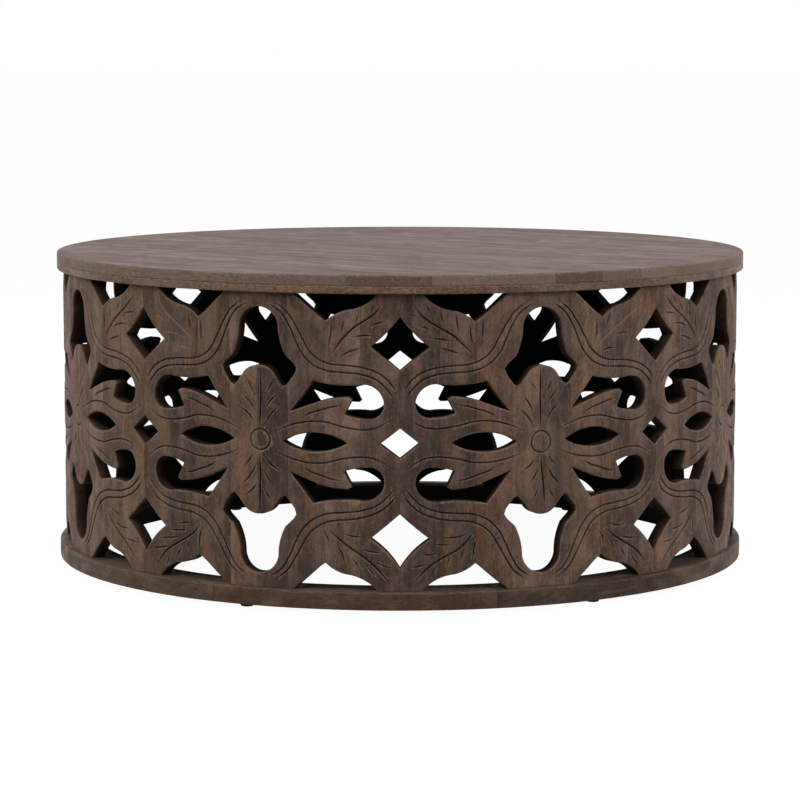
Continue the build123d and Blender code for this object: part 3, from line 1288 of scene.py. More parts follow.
class GrainGroup(SharedGroup):
    """Shared wood grain along local X, different in every plank.

    Planks are numbered by the whole part of Plank. Figure is the broad stripe of the
    growth rings, Fibre the fine brushed streaks, Speck the coarse sanded grit, Pores the
    short dark vessels, Ruddy the long reddish flames of the finish, Amber its yellowish
    streaks, Mottle its uneven clouds, Bald the small places rubbed pale, Knots rare dark
    eyes, Joint the hairline between two planks, and Tone and Warmth are random numbers
    of the plank.
    """

    NAME = "wood_grain"
    INPUTS = (("Place", "NodeSocketVector", None), ("Plank", FLOAT, 0.5), ("Stripe", FLOAT, 30.0))
    PATTERNS = {
        "Fibre": Pattern(38.0, 760.0, 4.0, 0.65, 0.0, 0.28, 0.72),
        "Speck": Pattern(210.0, 430.0, 3.0, 0.7, 0.0, 0.25, 0.75),
        "Pores": Pattern(110.0, 900.0, 1.0, 0.5, 0.0, 0.6, 0.74),
        "Ruddy": Pattern(11.0, 46.0, 3.0, 0.55, 0.5, 0.54, 0.7),
        "Amber": Pattern(8.0, 38.0, 4.0, 0.6, 0.9, 0.53, 0.7),
        "Mottle": Pattern(17.0, 27.0, 4.0, 0.6, 0.8, 0.34, 0.68),
        "Bald": Pattern(48.0, 105.0, 5.0, 0.72, 0.4, 0.5, 0.74),
    }
    OUTPUTS = (*PATTERNS, "Figure", "Knots", "Joint", "Tone", "Warmth")
    # The broad stripe, with its scales in stripes instead of metres
    FIGURE = Pattern(0.09, 1.0, 6.0, 0.62, 0.6, 0.3, 0.7)
    SHIFT = (11.0, 7.0, 5.0)
    KNOT_SCALE = (5.0, 15.0, 15.0)
    KNOT_RARITY = 0.7
    KNOT_EDGE = (0.16, 0.05)
    JOINT_EDGE = (0.012, 0.004)

    @classmethod
    def _fill(cls, sh: Shader, given: bpy.types.NodeOutputs, wanted: bpy.types.NodeInputs) -> None:
        """Make the grain.

        Every plank's place is shifted by its own random vector, so that the same
        patterns fall differently on it. The figure is stretched along the grain.

        Args:
            sh: of the group.
            given: what it is given: the place, the plank and the stripes.
            wanted: its outputs.
        """
        plank, stripe = given["Plank"], given["Stripe"]
        chance = sh.node("TexWhiteNoise", {"W": sh.math("FLOOR", plank)},
                         noise_dimensions="1D")
        colour = chance.outputs["Color"]
        moved = sh.vector("ADD", given["Place"], sh.vector("MULTIPLY", colour, cls.SHIFT))
        for name, p in cls.PATTERNS.items():
            place = sh.vector("MULTIPLY", moved, (p.along, p.across, p.across))
            value = sh.noise(place, 1.0, p.detail, p.roughness, p.distortion)
            sh.feed(wanted[name], sh.between(value, p.low, p.high))
        p = cls.FIGURE
        aspect = sh.node("CombineXYZ", {0: sh.math("MULTIPLY", stripe, p.along),
                                        1: stripe, 2: stripe}).outputs[0]
        figure = sh.noise(sh.vector("MULTIPLY", moved, aspect), p.across, p.detail,
                          p.roughness, p.distortion)
        sh.feed(wanted["Figure"], sh.between(figure, p.low, p.high))
        eyes = sh.node("TexVoronoi", {
            "Vector": sh.vector("MULTIPLY", moved, cls.KNOT_SCALE), "Scale": 1.0})
        lot = sh.node("SeparateColor", {0: eyes.outputs["Color"]}).outputs[0]
        rare = sh.math("GREATER_THAN", lot, cls.KNOT_RARITY)
        eye = sh.between(eyes.outputs["Distance"], *cls.KNOT_EDGE)
        sh.feed(wanted["Knots"], sh.math("MULTIPLY", rare, eye))
        part = sh.math("FRACT", plank)
        gap = sh.math("MINIMUM", part, sh.math("SUBTRACT", 1.0, part))
        sh.feed(wanted["Joint"], sh.between(gap, *cls.JOINT_EDGE))
        sh.feed(wanted["Tone"], chance.outputs["Value"])
        sh.feed(wanted["Warmth"], sh.node("SeparateColor", {0: colour}).outputs[1])


class WearGroup(SharedGroup):
    """Shared wear of wood: how far it is rubbed pale.

    Arris is 1 on an edge. Grit, made of the grain's Fibre and Speck, frays the rubbed
    band of the edge, and the clouds of Mottle, Bald and grit leave gaps in it, more of
    them the greater Patchy is. Rub is the strength of that band, and Bald Share that of
    the small bald places all over. Sanded is 1 in the cuts that are sanded pale.
    """

    NAME = "wood_wear"
    INPUTS = tuple((name, FLOAT, 0.0) for name in (
        "Arris", "Sanded", "Fibre", "Speck", "Mottle", "Bald", "Rub", "Patchy", "Bald Share"))
    OUTPUTS = ("Worn",)
    GRIT = (0.4, 1.6, -0.2, 0.2)
    BAND = (0.4, 1.0)
    SANDED_STRENGTH = 0.8

    @classmethod
    def _fill(cls, sh: Shader, given: bpy.types.NodeOutputs, wanted: bpy.types.NodeInputs) -> None:
        """Make the wear.

        Args:
            sh: of the group.
            given: the masks of the mesh and the grain, and the finish's strengths.
            wanted: its output.
        """
        grit = sh.between(sh.math("ADD", given["Speck"], given["Fibre"]), *cls.GRIT)
        band = sh.between(sh.math("ADD", given["Arris"], grit), *cls.BAND)
        uneven = sh.math("ADD", given["Mottle"], sh.math("ADD", given["Bald"], grit))
        whole = sh.between(uneven, given["Patchy"], 1.0, 0.0, given["Rub"])
        rubbed = sh.math("MAXIMUM", sh.math("MULTIPLY", band, whole),
                         sh.math("MULTIPLY", given["Bald"], given["Bald Share"]))
        sanded = sh.math("MULTIPLY", given["Sanded"], cls.SANDED_STRENGTH)
        sh.feed(wanted["Worn"], sh.math("MAXIMUM", rubbed, sanded))


@dataclass(frozen=True)
class Finish:
    """A material that pieces share.

    Args:
        name: of the material.
    """

    name: str

    def material(self) -> bpy.types.Material:
        """Build the material, or give back the one made before."""
        if self.name in bpy.data.materials:
            return bpy.data.materials[self.name]
        made = bpy.data.materials.new(self.name)
        made.use_nodes = True
        self._fill(Shader(made.node_tree), made.node_tree.nodes["Principled BSDF"])
        return made

    def _fill(self, sh: Shader, surface: bpy.types.Node) -> None:
        """Set and link the inputs of the material's Principled BSDF."""
        raise NotImplementedError


@dataclass(frozen=True)
class WoodFinish(Finish):
    """Stained, brushed and oiled wood.

    Args:
        dark: colour of the dark figure.
        light: colour of the light figure.
        cool: colour of the greyish clouds of the finish.
        warm: colour of the reddish planks and patches.
        ochre: colour of the yellowish planks.
        side: colour of sawn rims, where the mesh marks them.
        side_light: colour of their paler places.
        painted_shade_and_joints: painted shade of cuts, walls and inner faces; dark joints.
        worn: colour of rubbed edges.
        stripe: stripes of the figure to a metre, across the planks.
        spread: how far planks differ in tone.
        warmth: strength of the reddish colour.
        cloud: strength of the greyish clouds.
        fibre: contrast of the brushed streaks.
        speck: contrast of the sanded grit.
        shade: contrast of the clouds.
        rub: strength of the worn edges.
        bald: strength of the small pale places.
        patchy: how rare the worn stretches of an edge are, from 0 to 1.
        roughness: of the oiled face.
        relief: depth of the brushed streaks, in metres.
        gloss: strength of its reflections, 0.5 for varnish.
        mapped: whether the mesh carries its grain, else the object's own axes do.
    """

    dark: Colour
    light: Colour
    cool: Colour
    warm: Colour
    ochre: Colour
    side: Colour = srgb(92, 76, 67)
    side_light: Colour = srgb(122, 101, 88)
    # Near-black colour of the painted shade in cuts, on the walls of openings and on inner faces,
    # and of the dark joints
    painted_shade_and_joints: Colour = srgb(6, 5, 4)
    worn: Colour = srgb(134, 108, 88)
    stripe: float = 30.0
    spread: float = 0.12
    warmth: float = 0.6
    cloud: float = 0.5
    fibre: float = 0.1
    speck: float = 0.16
    shade: float = 0.06
    rub: float = 0.6
    bald: float = 0.3
    patchy: float = 0.15
    roughness: float = 0.52
    relief: float = 0.2 * MM
    gloss: float = 0.2
    mapped: bool = True

    # Roughness that clouds, brushed streaks and dark cuts add or take away
    CLOUD_DULL = 0.14
    STREAK_DULL = 0.02
    STREAK_SHINE = 0.1
    CUT_DULL = 0.5
    # Warmth of the plank under which it turns yellow, and over which it turns red
    YELLOW = (0.3, 0.05)
    RED = (0.5, 1.0)
    # Strengths of whole yellow planks, yellow streaks and whole red planks, by warmth
    YELLOW_PLANK = 0.6
    YELLOW_STREAK = 1.4
    RED_PLANK = 0.75
    # How much planks, clouds and bald places pale a sawn rim, and how streaks do
    SAWN = {"Tone": 0.45, "Mottle": 0.2, "Bald": 0.3}
    SAWN_STREAKS = (0.1, 0.9, 0.0, 0.3)
    # Brightness of knots and of the joints between planks
    KNOT = 0.5
    JOINT = 0.6

    def _fill(self, sh: Shader, surface: bpy.types.Node) -> None:
        """Lay the grain over the surface.

        Rough places are the greyish clouds of the finish, the hollows between brushed streaks
        and the cuts darkened with painted shade.

        Args:
            sh: of the material.
            surface: its Principled BSDF.
        """
        group = sh.node("Group", node_tree=GrainGroup.tree())
        if self.mapped:
            sh.feed(group.inputs["Place"], sh.attribute("grain", "Vector"))
            sh.feed(group.inputs["Plank"], sh.attribute("plank", "Fac"))
        else:
            sh.feed(group.inputs["Place"], sh.node("TexCoord").outputs["Object"])
        group.inputs["Stripe"].default_value = self.stripe
        grain = group.outputs
        surface.inputs["Specular IOR Level"].default_value = self.gloss
        sh.feed(surface.inputs["Base Color"], self._colour(sh, group))
        streaks = sh.between(grain["Fibre"], 0.0, 1.0, self.roughness + self.STREAK_DULL,
                             self.roughness - self.STREAK_SHINE)
        clouds = sh.math("MULTIPLY", grain["Mottle"], self.CLOUD_DULL)
        shine = sh.math("ADD", clouds, streaks)
        dull = sh.math("MULTIPLY", sh.attribute("painted_shade_and_joints", "Fac"), self.CUT_DULL)
        sh.feed(surface.inputs["Roughness"], sh.math("ADD", shine, dull, clamp=True))
        height = sh.math("ADD", grain["Fibre"], grain["Speck"])
        sh.bump(surface, sh.math("SUBTRACT", height, grain["Pores"]), self.relief)

    def _colour(self, sh: Shader, group: bpy.types.Node) -> Socket:
        """Lay the colours over each other, from the bare figure to the painted shade of the cuts.

        Args:
            sh: of the material.
            group: the grain.

        Returns:
            The colour.
        """
        grain = group.outputs
        bare = sh.mix(grain["Figure"], rgba(self.dark), rgba(self.light))
        bare = sh.mix(sh.math("MULTIPLY", grain["Mottle"], self.cloud), bare, rgba(self.cool))
        yellow = sh.between(grain["Warmth"], *self.YELLOW, 0.0, self.YELLOW_PLANK * self.warmth)
        streaks = sh.math("MULTIPLY", grain["Amber"], self.YELLOW_STREAK * self.warmth)
        bare = sh.mix(sh.math("MAXIMUM", yellow, streaks), bare, rgba(self.ochre))
        whole = sh.between(grain["Warmth"], *self.RED, 0.0, self.RED_PLANK * self.warmth)
        flames = sh.math("MULTIPLY", grain["Ruddy"], self.warmth)
        bare = sh.mix(sh.math("MAXIMUM", whole, flames), bare, rgba(self.warm))
        bare = sh.mix(sh.attribute("side", "Fac"), bare, self._sawn(sh, group))
        toned = sh.node("VectorMath", {0: bare}, operation="SCALE")
        sh.feed(toned.inputs["Scale"], self._tone(sh, group))
        worn = sh.mix(self._wear(sh, group), toned.outputs[0], rgba(self.worn))
        # Painted shade, and the dark joints, from the mesh's mask
        return sh.mix(sh.attribute("painted_shade_and_joints", "Fac"), worn, rgba(self.painted_shade_and_joints))

    def _sawn(self, sh: Shader, group: bpy.types.Node) -> Socket:
        """Colour of a sawn rim: paler by whole planks, clouds, bald places and streaks."""
        pale = sh.between(group.outputs["Fibre"], *self.SAWN_STREAKS)
        for mask, strength in self.SAWN.items():
            pale = sh.math("ADD", pale, sh.math("MULTIPLY", group.outputs[mask], strength))
        return sh.mix(pale, rgba(self.side), rgba(self.side_light))

    def _tone(self, sh: Shader, group: bpy.types.Node) -> Socket:
        """Brightness round 1: the product of one factor for each mask."""
        tone = sh.between(group.outputs["Tone"], 0.0, 1.0, 1 - self.spread, 1 + self.spread)
        for mask, low, high in (("Mottle", 1 + self.shade, 1 - self.shade),
                                ("Fibre", 1 - self.fibre, 1 + self.fibre),
                                ("Speck", 1 - self.speck, 1 + self.speck),
                                ("Pores", 1.0, 1 - self.fibre), ("Knots", 1.0, self.KNOT),
                                ("Joint", 1.0, self.JOINT)):
            factor = sh.between(group.outputs[mask], 0.0, 1.0, low, high)
            tone = sh.math("MULTIPLY", tone, factor)
        return tone

    def _wear(self, sh: Shader, group: bpy.types.Node) -> Socket:
        """Where the wood is worn, from the grain and the mesh's own masks."""
        masks = {name: group.outputs[name] for name in ("Fibre", "Speck", "Mottle", "Bald")}
        own = {"Arris": sh.attribute("arris", "Fac"), "Sanded": sh.attribute("worn", "Fac"),
               "Rub": self.rub, "Patchy": self.patchy, "Bald Share": self.bald}
        return sh.node("Group", masks | own, node_tree=WearGroup.tree()).outputs["Worn"]


@dataclass(frozen=True)
class PlainFinish(Finish):
    """Moulded plastic or drawn steel: one colour, faintly uneven.

    Args:
        colour: of the face.
        roughness: of the face.
        metallic: 1 for metal.
        gloss: strength of its reflections, 0.5 for bright varnish or metal.
        grit: depth of its unevenness, in metres.
        cloud_scale: of its faint clouds, in 1/m.
        grit_scale: of its unevenness.
    """

    colour: Colour
    roughness: float
    metallic: float = 0.0
    gloss: float = 0.5
    grit: float = 0.05 * MM
    cloud_scale: float = 260.0
    grit_scale: float = 2400.0

    # The clouds: where they start and end in the noise, how many times lighter they are
    # and by how much at least, and how much rougher
    CLOUD_EDGE = (0.3, 0.7)
    CLOUD_LIGHT = 1.5
    CLOUD_LEAST = 0.01
    CLOUD_DULL = 0.06
    GRIT_DETAIL = 2.0
    GRIT_STRENGTH = 0.4

    def _fill(self, sh: Shader, surface: bpy.types.Node) -> None:
        """Lay faint clouds of a lighter and rougher face over the surface.

        Args:
            sh: of the material.
            surface: its Principled BSDF.
        """
        surface.inputs["Metallic"].default_value = self.metallic
        surface.inputs["Specular IOR Level"].default_value = self.gloss
        place = sh.node("TexCoord").outputs["Object"]
        cloud = sh.noise(place, self.cloud_scale)
        light = [min(1.0, self.CLOUD_LIGHT * x + self.CLOUD_LEAST) for x in self.colour]
        sh.feed(surface.inputs["Base Color"], sh.mix(cloud, rgba(self.colour), rgba(light)))
        rough = sh.between(cloud, *self.CLOUD_EDGE, self.roughness - self.CLOUD_DULL,
                           self.roughness + self.CLOUD_DULL)
        sh.feed(surface.inputs["Roughness"], rough)
        grit = sh.noise(place, self.grit_scale, self.GRIT_DETAIL)
        sh.bump(surface, grit, self.grit, self.GRIT_STRENGTH)


TOP_WOOD = WoodFinish(
    "oiled_top", dark=srgb(86, 66, 59), light=srgb(133, 112, 103), cool=srgb(107, 91, 88),
    warm=srgb(122, 90, 74), ochre=srgb(112, 94, 80), side=srgb(108, 88, 75),
    side_light=srgb(176, 148, 130), worn=srgb(172, 148, 130), stripe=32.0, spread=0.11,
    warmth=0.5, cloud=0.3, speck=0.08, rub=0.6, bald=0.08, patchy=0.2, roughness=0.58,
    relief=0.06 * MM)
RIM_WOOD = WoodFinish(
    "oiled_rim", dark=srgb(117, 94, 81), light=srgb(174, 145, 124), cool=srgb(125, 106, 97),
    warm=srgb(182, 133, 101), ochre=srgb(162, 134, 110), worn=srgb(186, 158, 136), spread=0.16,
    fibre=0.18, speck=0.36, shade=0.12, rub=1.0, bald=0.5, patchy=0.1)
BASE_WOOD = WoodFinish(
    "oiled_base", dark=srgb(82, 67, 58), light=srgb(140, 117, 101), cool=srgb(94, 80, 74),
    warm=srgb(146, 110, 88), ochre=srgb(140, 115, 93), worn=srgb(150, 126, 106), stripe=40.0,
    spread=0.14, shade=0.2, rub=0.8, bald=0.14, patchy=0.45, gloss=0.1)
CARVED_WOOD = WoodFinish(
    "oiled_carving", dark=srgb(100, 82, 74), light=srgb(162, 134, 121), cool=srgb(112, 95, 91),
    warm=srgb(168, 114, 88), ochre=srgb(157, 124, 83), worn=srgb(174, 150, 134), spread=0.16,
    warmth=0.52, cloud=0.44, fibre=0.11, speck=0.2, shade=0.2, rub=0.9, bald=0.4,
    gloss=0.08)
RAW_WOOD = WoodFinish(
    "raw_tenons", dark=srgb(150, 112, 74), light=srgb(182, 146, 104), cool=srgb(160, 130, 96),
    warm=srgb(160, 110, 70), ochre=srgb(176, 140, 84), relief=0.1 * MM, mapped=False)
BLACK_PLASTIC = PlainFinish("moulded_black", srgb(8, 8, 8), 0.7, gloss=0.1)
BRIGHT_STEEL = PlainFinish("drawn_steel", srgb(150, 150, 152), 0.35, metallic=1.0)


class Slot(Enum):
    """Names of the record's material slots; no piece here takes its finish from them."""

    TOP = "top_wood"
    RING = "ring_wood"
    CARVED = "carved_wood"
    TENON = "tenon_wood"
    GLIDE = "glide_plastic"
    NAIL = "nail_steel"


# ---------- sub-assemblies


# Each piece's grain is shifted by up to this, so that no two are cut from the same wood
GRAIN_SHIFT = 9.0


def settle(piece: bpy.types.Object, finish: Finish, node: str) -> None:
    """Dress a new piece, let it ride on the table and stand for its node.

    Args:
        piece: at the origin.
        finish: of all its faces.
        node: that it replaces.
    """
    piece.data.materials.append(finish.material())
    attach(piece, BODY)
    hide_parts(node)
    LOG.info("%s: %d faces", piece.name, len(piece.data.polygons))


@dataclass
class TopBoards:
    """The boards of the top, glued side by side and sawn round together.

    Each board is a block lattice (s, t, z). With p(z) the rim's radius at a height,
    its points lie at x = s * p * cos(f) and y = p * sin(f) along and across the
    boards, where f runs with t between the angles at which its two joints meet p.

    Args:
        sizes: of the drum.
        arris: radius of the rubbed upper edge.
        joint_depth: depth of the faint groove at a joint.
        joint_width: half its width.
        seat_height: height of the bevel of the lower edge.
        seat_depth: depth of that bevel.
        wear_place: how far the most worn line of the rim is under the top.
        wear_height: how far the wear reaches from there, up or down.
        wear_width: how far it reaches from the rim into the top.
        step: angle between points across a board.
        shy: how far the rim stays inside its solid.
        finish: of the wood.
    """

    sizes: DrumSizes
    arris: float = 2.6 * MM
    joint_depth: float = 0.22 * MM
    joint_width: float = 0.5 * MM
    seat_height: float = 0.4 * MM
    seat_depth: float = 0.3 * MM
    wear_place: float = 1.2 * MM
    wear_height: float = 3.2 * MM
    wear_width: float = 1.5 * MM
    step: float = 0.011
    shy: float = 0.2 * MM
    finish: WoodFinish = TOP_WOOD

    JOINT_STRIP = 1.2 * MM
    # Painted shade over the whole underside of the boards
    PAINTED_UNDERSIDE_SHADE = 0.94
    JOINT_STAIN = 0.55
    # Shares along a board, and those of the arris's quarter circle that get a row
    ALONG = (-1.0, *np.linspace(-0.97, 0.97, 9), 1.0)
    FALL = 1 - np.sin(np.linspace(0.3, math.pi / 2, 6))

    def build(self) -> None:
        """Make every board."""
        rng = np.random.default_rng(SEED)
        for i in range(self.sizes.board_count):
            self._board(i, rng)

    def _rim(self, z: Points) -> Points:
        """Radius of the rim at a height: a quarter round under the upper face."""
        rise = np.clip((z - (self.sizes.top - self.arris)) / self.arris, 0, 1)
        seat = self.sizes.boards_underside + self.seat_height
        fall = np.clip((seat - z) / self.seat_height, 0, 1)
        inset = self.arris * quarter_round(rise) + self.seat_depth * fall
        return self.sizes.radius - self.shy - inset

    def _shares(self, low: float, high: float) -> tuple[Points, Points, Points]:
        """Divide a board's block.

        Args:
            low: offset of its first joint across the top.
            high: offset of its second joint.

        Returns:
            Shares along and across the board, and heights over its underside, all with
            more rows at its edges.
        """
        radius, thick = self.sizes.radius, self.sizes.top - self.sizes.boards_underside
        turns = np.arcsin(np.clip([low / radius, high / radius], -1, 1))
        sweep = turns[1] - turns[0]
        count = max(6, int(sweep / self.step))
        across = near_edges(sweep, self.JOINT_STRIP / radius, count, 2)
        up = np.concatenate([
            [0, self.seat_height], np.linspace(2 * MM, thick - self.arris, 4),
            thick - self.arris * self.FALL,
        ])
        return np.array(self.ALONG), across, up

    def _board(self, i: int, rng: np.random.Generator) -> None:
        """Make one board.

        Args:
            i: its number, from 0.
            rng: the seeded source of its place in the wood.
        """
        count = self.sizes.board_count
        width = 2 * self.sizes.radius / count
        low = i * width - self.sizes.radius
        high = low + width
        along, across, up = self._shares(low, high)
        ijk, faces = block_lattice((len(along), len(across), len(up)))
        s, t = along[ijk[:, 0]], across[ijk[:, 1]]
        z = self.sizes.boards_underside + up[ijk[:, 2]]
        rim = self._rim(z)
        first = np.arcsin(np.clip(low / rim, -1, 1))
        last = np.arcsin(np.clip(high / rim, -1, 1))
        turn = first + t * (last - first)
        x, y = s * rim * np.cos(turn), rim * np.sin(turn)
        to_joint = np.minimum(y - low if i > 0 else math.inf,
                              high - y if i < count - 1 else math.inf)
        groove = falloff(to_joint, self.joint_width) * (ijk[:, 2] == len(up) - 1)
        z = z - self.joint_depth * groove
        place = np.stack([x, y, z], axis=-1)
        at_rim = falloff(rim - np.hypot(x, y), self.wear_width)
        off_line = np.abs(z - (self.sizes.top - self.wear_place))
        mesh = MeshArrays(turned(place, self.sizes.board_turn), [faces], floats={
            "plank": np.full(len(z), i + 0.5),
            "arris": at_rim * falloff(off_line, self.wear_height),
            # Painted shade on the underside; dark joints in the faint grooves
            "painted_shade_and_joints": np.where(ijk[:, 2] == 0, self.PAINTED_UNDERSIDE_SHADE, self.JOINT_STAIN * groove),
            "side": (np.abs(s) == 1) * np.clip((self.sizes.top - z) / self.arris, 0, 1),
        }, vectors={"grain": place + rng.uniform(0, GRAIN_SHIFT, 3)})
        name = f"top_board_{i + 1:02d}"
        settle(mesh.piece(f"{name}_oiled", SHARP_ANGLE), self.finish, name)


@dataclass
class RingSegments:
    """One segmented ring: the thickening ring of the top or the base ring.

    Each segment is a block lattice (angle, a, z): the radius goes from that of the
    inner edge at a = 0 to that of the rim at a = 1. The rim's corners are quarter
    rounds, rubbed unevenly along the rim.

    Args:
        name: of its nodes, without their numbers.
        sizes: of the drum.
        low: its underside.
        high: its upper face.
        inner: radius of its inner edge, at the joints.
        straight_inside: whether the inner edge is straight between the joints.
        arris_low: radius of the lower outer edge.
        arris_high: radius of the upper outer edge.
        finish: of its wood.
        shy: how far the rim stays inside its solid.
        joint_depth: depth of the faint groove at a joint.
        joint_width: half its width.
        rub: how unevenly the edges are rubbed.
        rub_lengths: wavelengths of that along the rim.
        wear_width: how far the wear reaches from the rim.
        wear_low: how far it reaches up, in radii of the lower edge.
        wear_high: how far it reaches down, in radii of the upper edge.
        wear_least: added to that.
        turns: points along a segment, without those at its ends.
        first_plank: number of the first segment's plank in the grain.
    """

    name: str
    sizes: DrumSizes
    low: float
    high: float
    inner: float
    straight_inside: bool
    arris_low: float
    arris_high: float
    finish: WoodFinish
    shy: float = 0.2 * MM
    joint_depth: float = 0.35 * MM
    joint_width: float = 0.7 * MM
    rub: float = 0.22
    rub_lengths: tuple[float, ...] = (0.31, 0.12, 0.057, 0.023)
    wear_width: float = 5 * MM
    wear_low: float = 2.2
    wear_high: float = 1.8
    wear_least: float = 1.2 * MM
    turns: int = 66
    first_plank: float = 20.5

    JOINT_STAIN = 0.8
    # Painted shade on the inner edge, and on the rear half's faces inside the wall
    PAINTED_INNER_SHADE = 0.96
    # How far the painted shade of the inside reaches under the wall
    PAINTED_SHADE_REACH = 2 * MM
    # The rim's unevenness: its least and greatest factor, and how heights are stretched
    UNEVEN = (0.5, 1.6)
    STRETCH = 4
    # Shares from the inner edge to the rim
    OUTWARD = (0.0, 0.25, 0.5, 0.75, 0.93, 0.975, 1.0)

    def build(self) -> None:
        """Make every segment."""
        rng = np.random.default_rng(SEED + len(self.name))
        for i in range(self.sizes.segments_per_ring):
            self._segment(i, rng)

    def _rim(self, angle: Points, z: Points) -> Points:
        """Work out the radius of the rim.

        Args:
            angle: in plan.
            z: height.

        Returns:
            The radius, less the two quarter rounds times an uneven factor round 1.
        """
        place = np.stack([self.sizes.radius * angle, z * self.STRETCH], axis=-1)
        ripple = waves(place, self.rub_lengths, np.random.default_rng(SEED))
        uneven = np.clip(1 + self.rub * ripple, *self.UNEVEN)
        top, bottom = self.arris_high, self.arris_low
        up = np.clip((z - (self.high - top)) / top, 0, 1)
        down = np.clip(((self.low + bottom) - z) / bottom, 0, 1)
        inset = top * quarter_round(up) + bottom * quarter_round(down)
        return self.sizes.radius - self.shy - inset * uneven

    def _shares(self) -> tuple[Points, Points, Points]:
        """Shares along a segment and from its inner edge to its rim, and heights."""
        length = self.sizes.segment_angle * self.sizes.radius
        along = near_edges(length, self.joint_width, self.turns, 2)
        curve = 1 - np.cos(np.linspace(0, math.pi / 2, 6))
        up = np.unique(np.concatenate([
            self.low + self.arris_low * curve,
            np.linspace(self.low + self.arris_low, self.high - self.arris_high, 4),
            self.high - self.arris_high * curve,
        ]).round(7))
        return along, np.array(self.OUTWARD), up

    def _worn(self, out: Points, z: Points) -> Points:
        """How much of an arris each place is, by its radius and its height."""
        upper = falloff(self.high - z, self.wear_least + self.wear_high * self.arris_high)
        lower = falloff(z - self.low, self.wear_low * self.arris_low)
        return np.maximum(upper, lower) * falloff(self.sizes.radius - out, self.wear_width)

    def _segment(self, i: int, rng: np.random.Generator) -> None:
        """Make one segment.

        Args:
            i: its number, from 0.
            rng: the seeded source of its place in the wood.
        """
        sweep, radius = self.sizes.segment_angle, self.sizes.radius
        start = self.sizes.ring_turn + i * sweep
        along, outward, up = self._shares()
        ijk, faces = block_lattice((len(along), len(outward), len(up)))
        angle = start + along[ijk[:, 0]] * sweep
        a, z = outward[ijk[:, 1]], up[ijk[:, 2]]
        inner = self.inner
        if self.straight_inside:
            inner = self.inner * math.cos(sweep / 2) / np.cos(angle - start - sweep / 2)
        to_joint = np.minimum(angle - start, start + sweep - angle) * radius
        at_joint = falloff(to_joint, self.joint_width)
        rim = self._rim(angle, z) - self.joint_depth * at_joint
        points = around(inner + a * (rim - inner), angle, z)
        out = np.hypot(points[:, 0], points[:, 1])
        # Painted shade: the inner edge all round, and on the rear half every face inside the wall,
        # are coloured near black
        inside = (points[:, 1] > 0) | (a == 0)
        inside &= out < self.sizes.wall_inner + self.PAINTED_SHADE_REACH
        grain = turned(points, -(start + sweep / 2)) + rng.uniform(0, GRAIN_SHIFT, 3)
        mesh = MeshArrays(points, [faces[:, ::-1]], floats={
            "plank": np.full(len(z), self.first_plank + i), "arris": self._worn(out, z),
            "painted_shade_and_joints": np.maximum(self.JOINT_STAIN * at_joint, self.PAINTED_INNER_SHADE * inside),
        }, vectors={"grain": grain})
        name = f"{self.name}_{i + 1}"
        settle(mesh.piece(f"{name}_oiled", SHARP_ANGLE), self.finish, name)


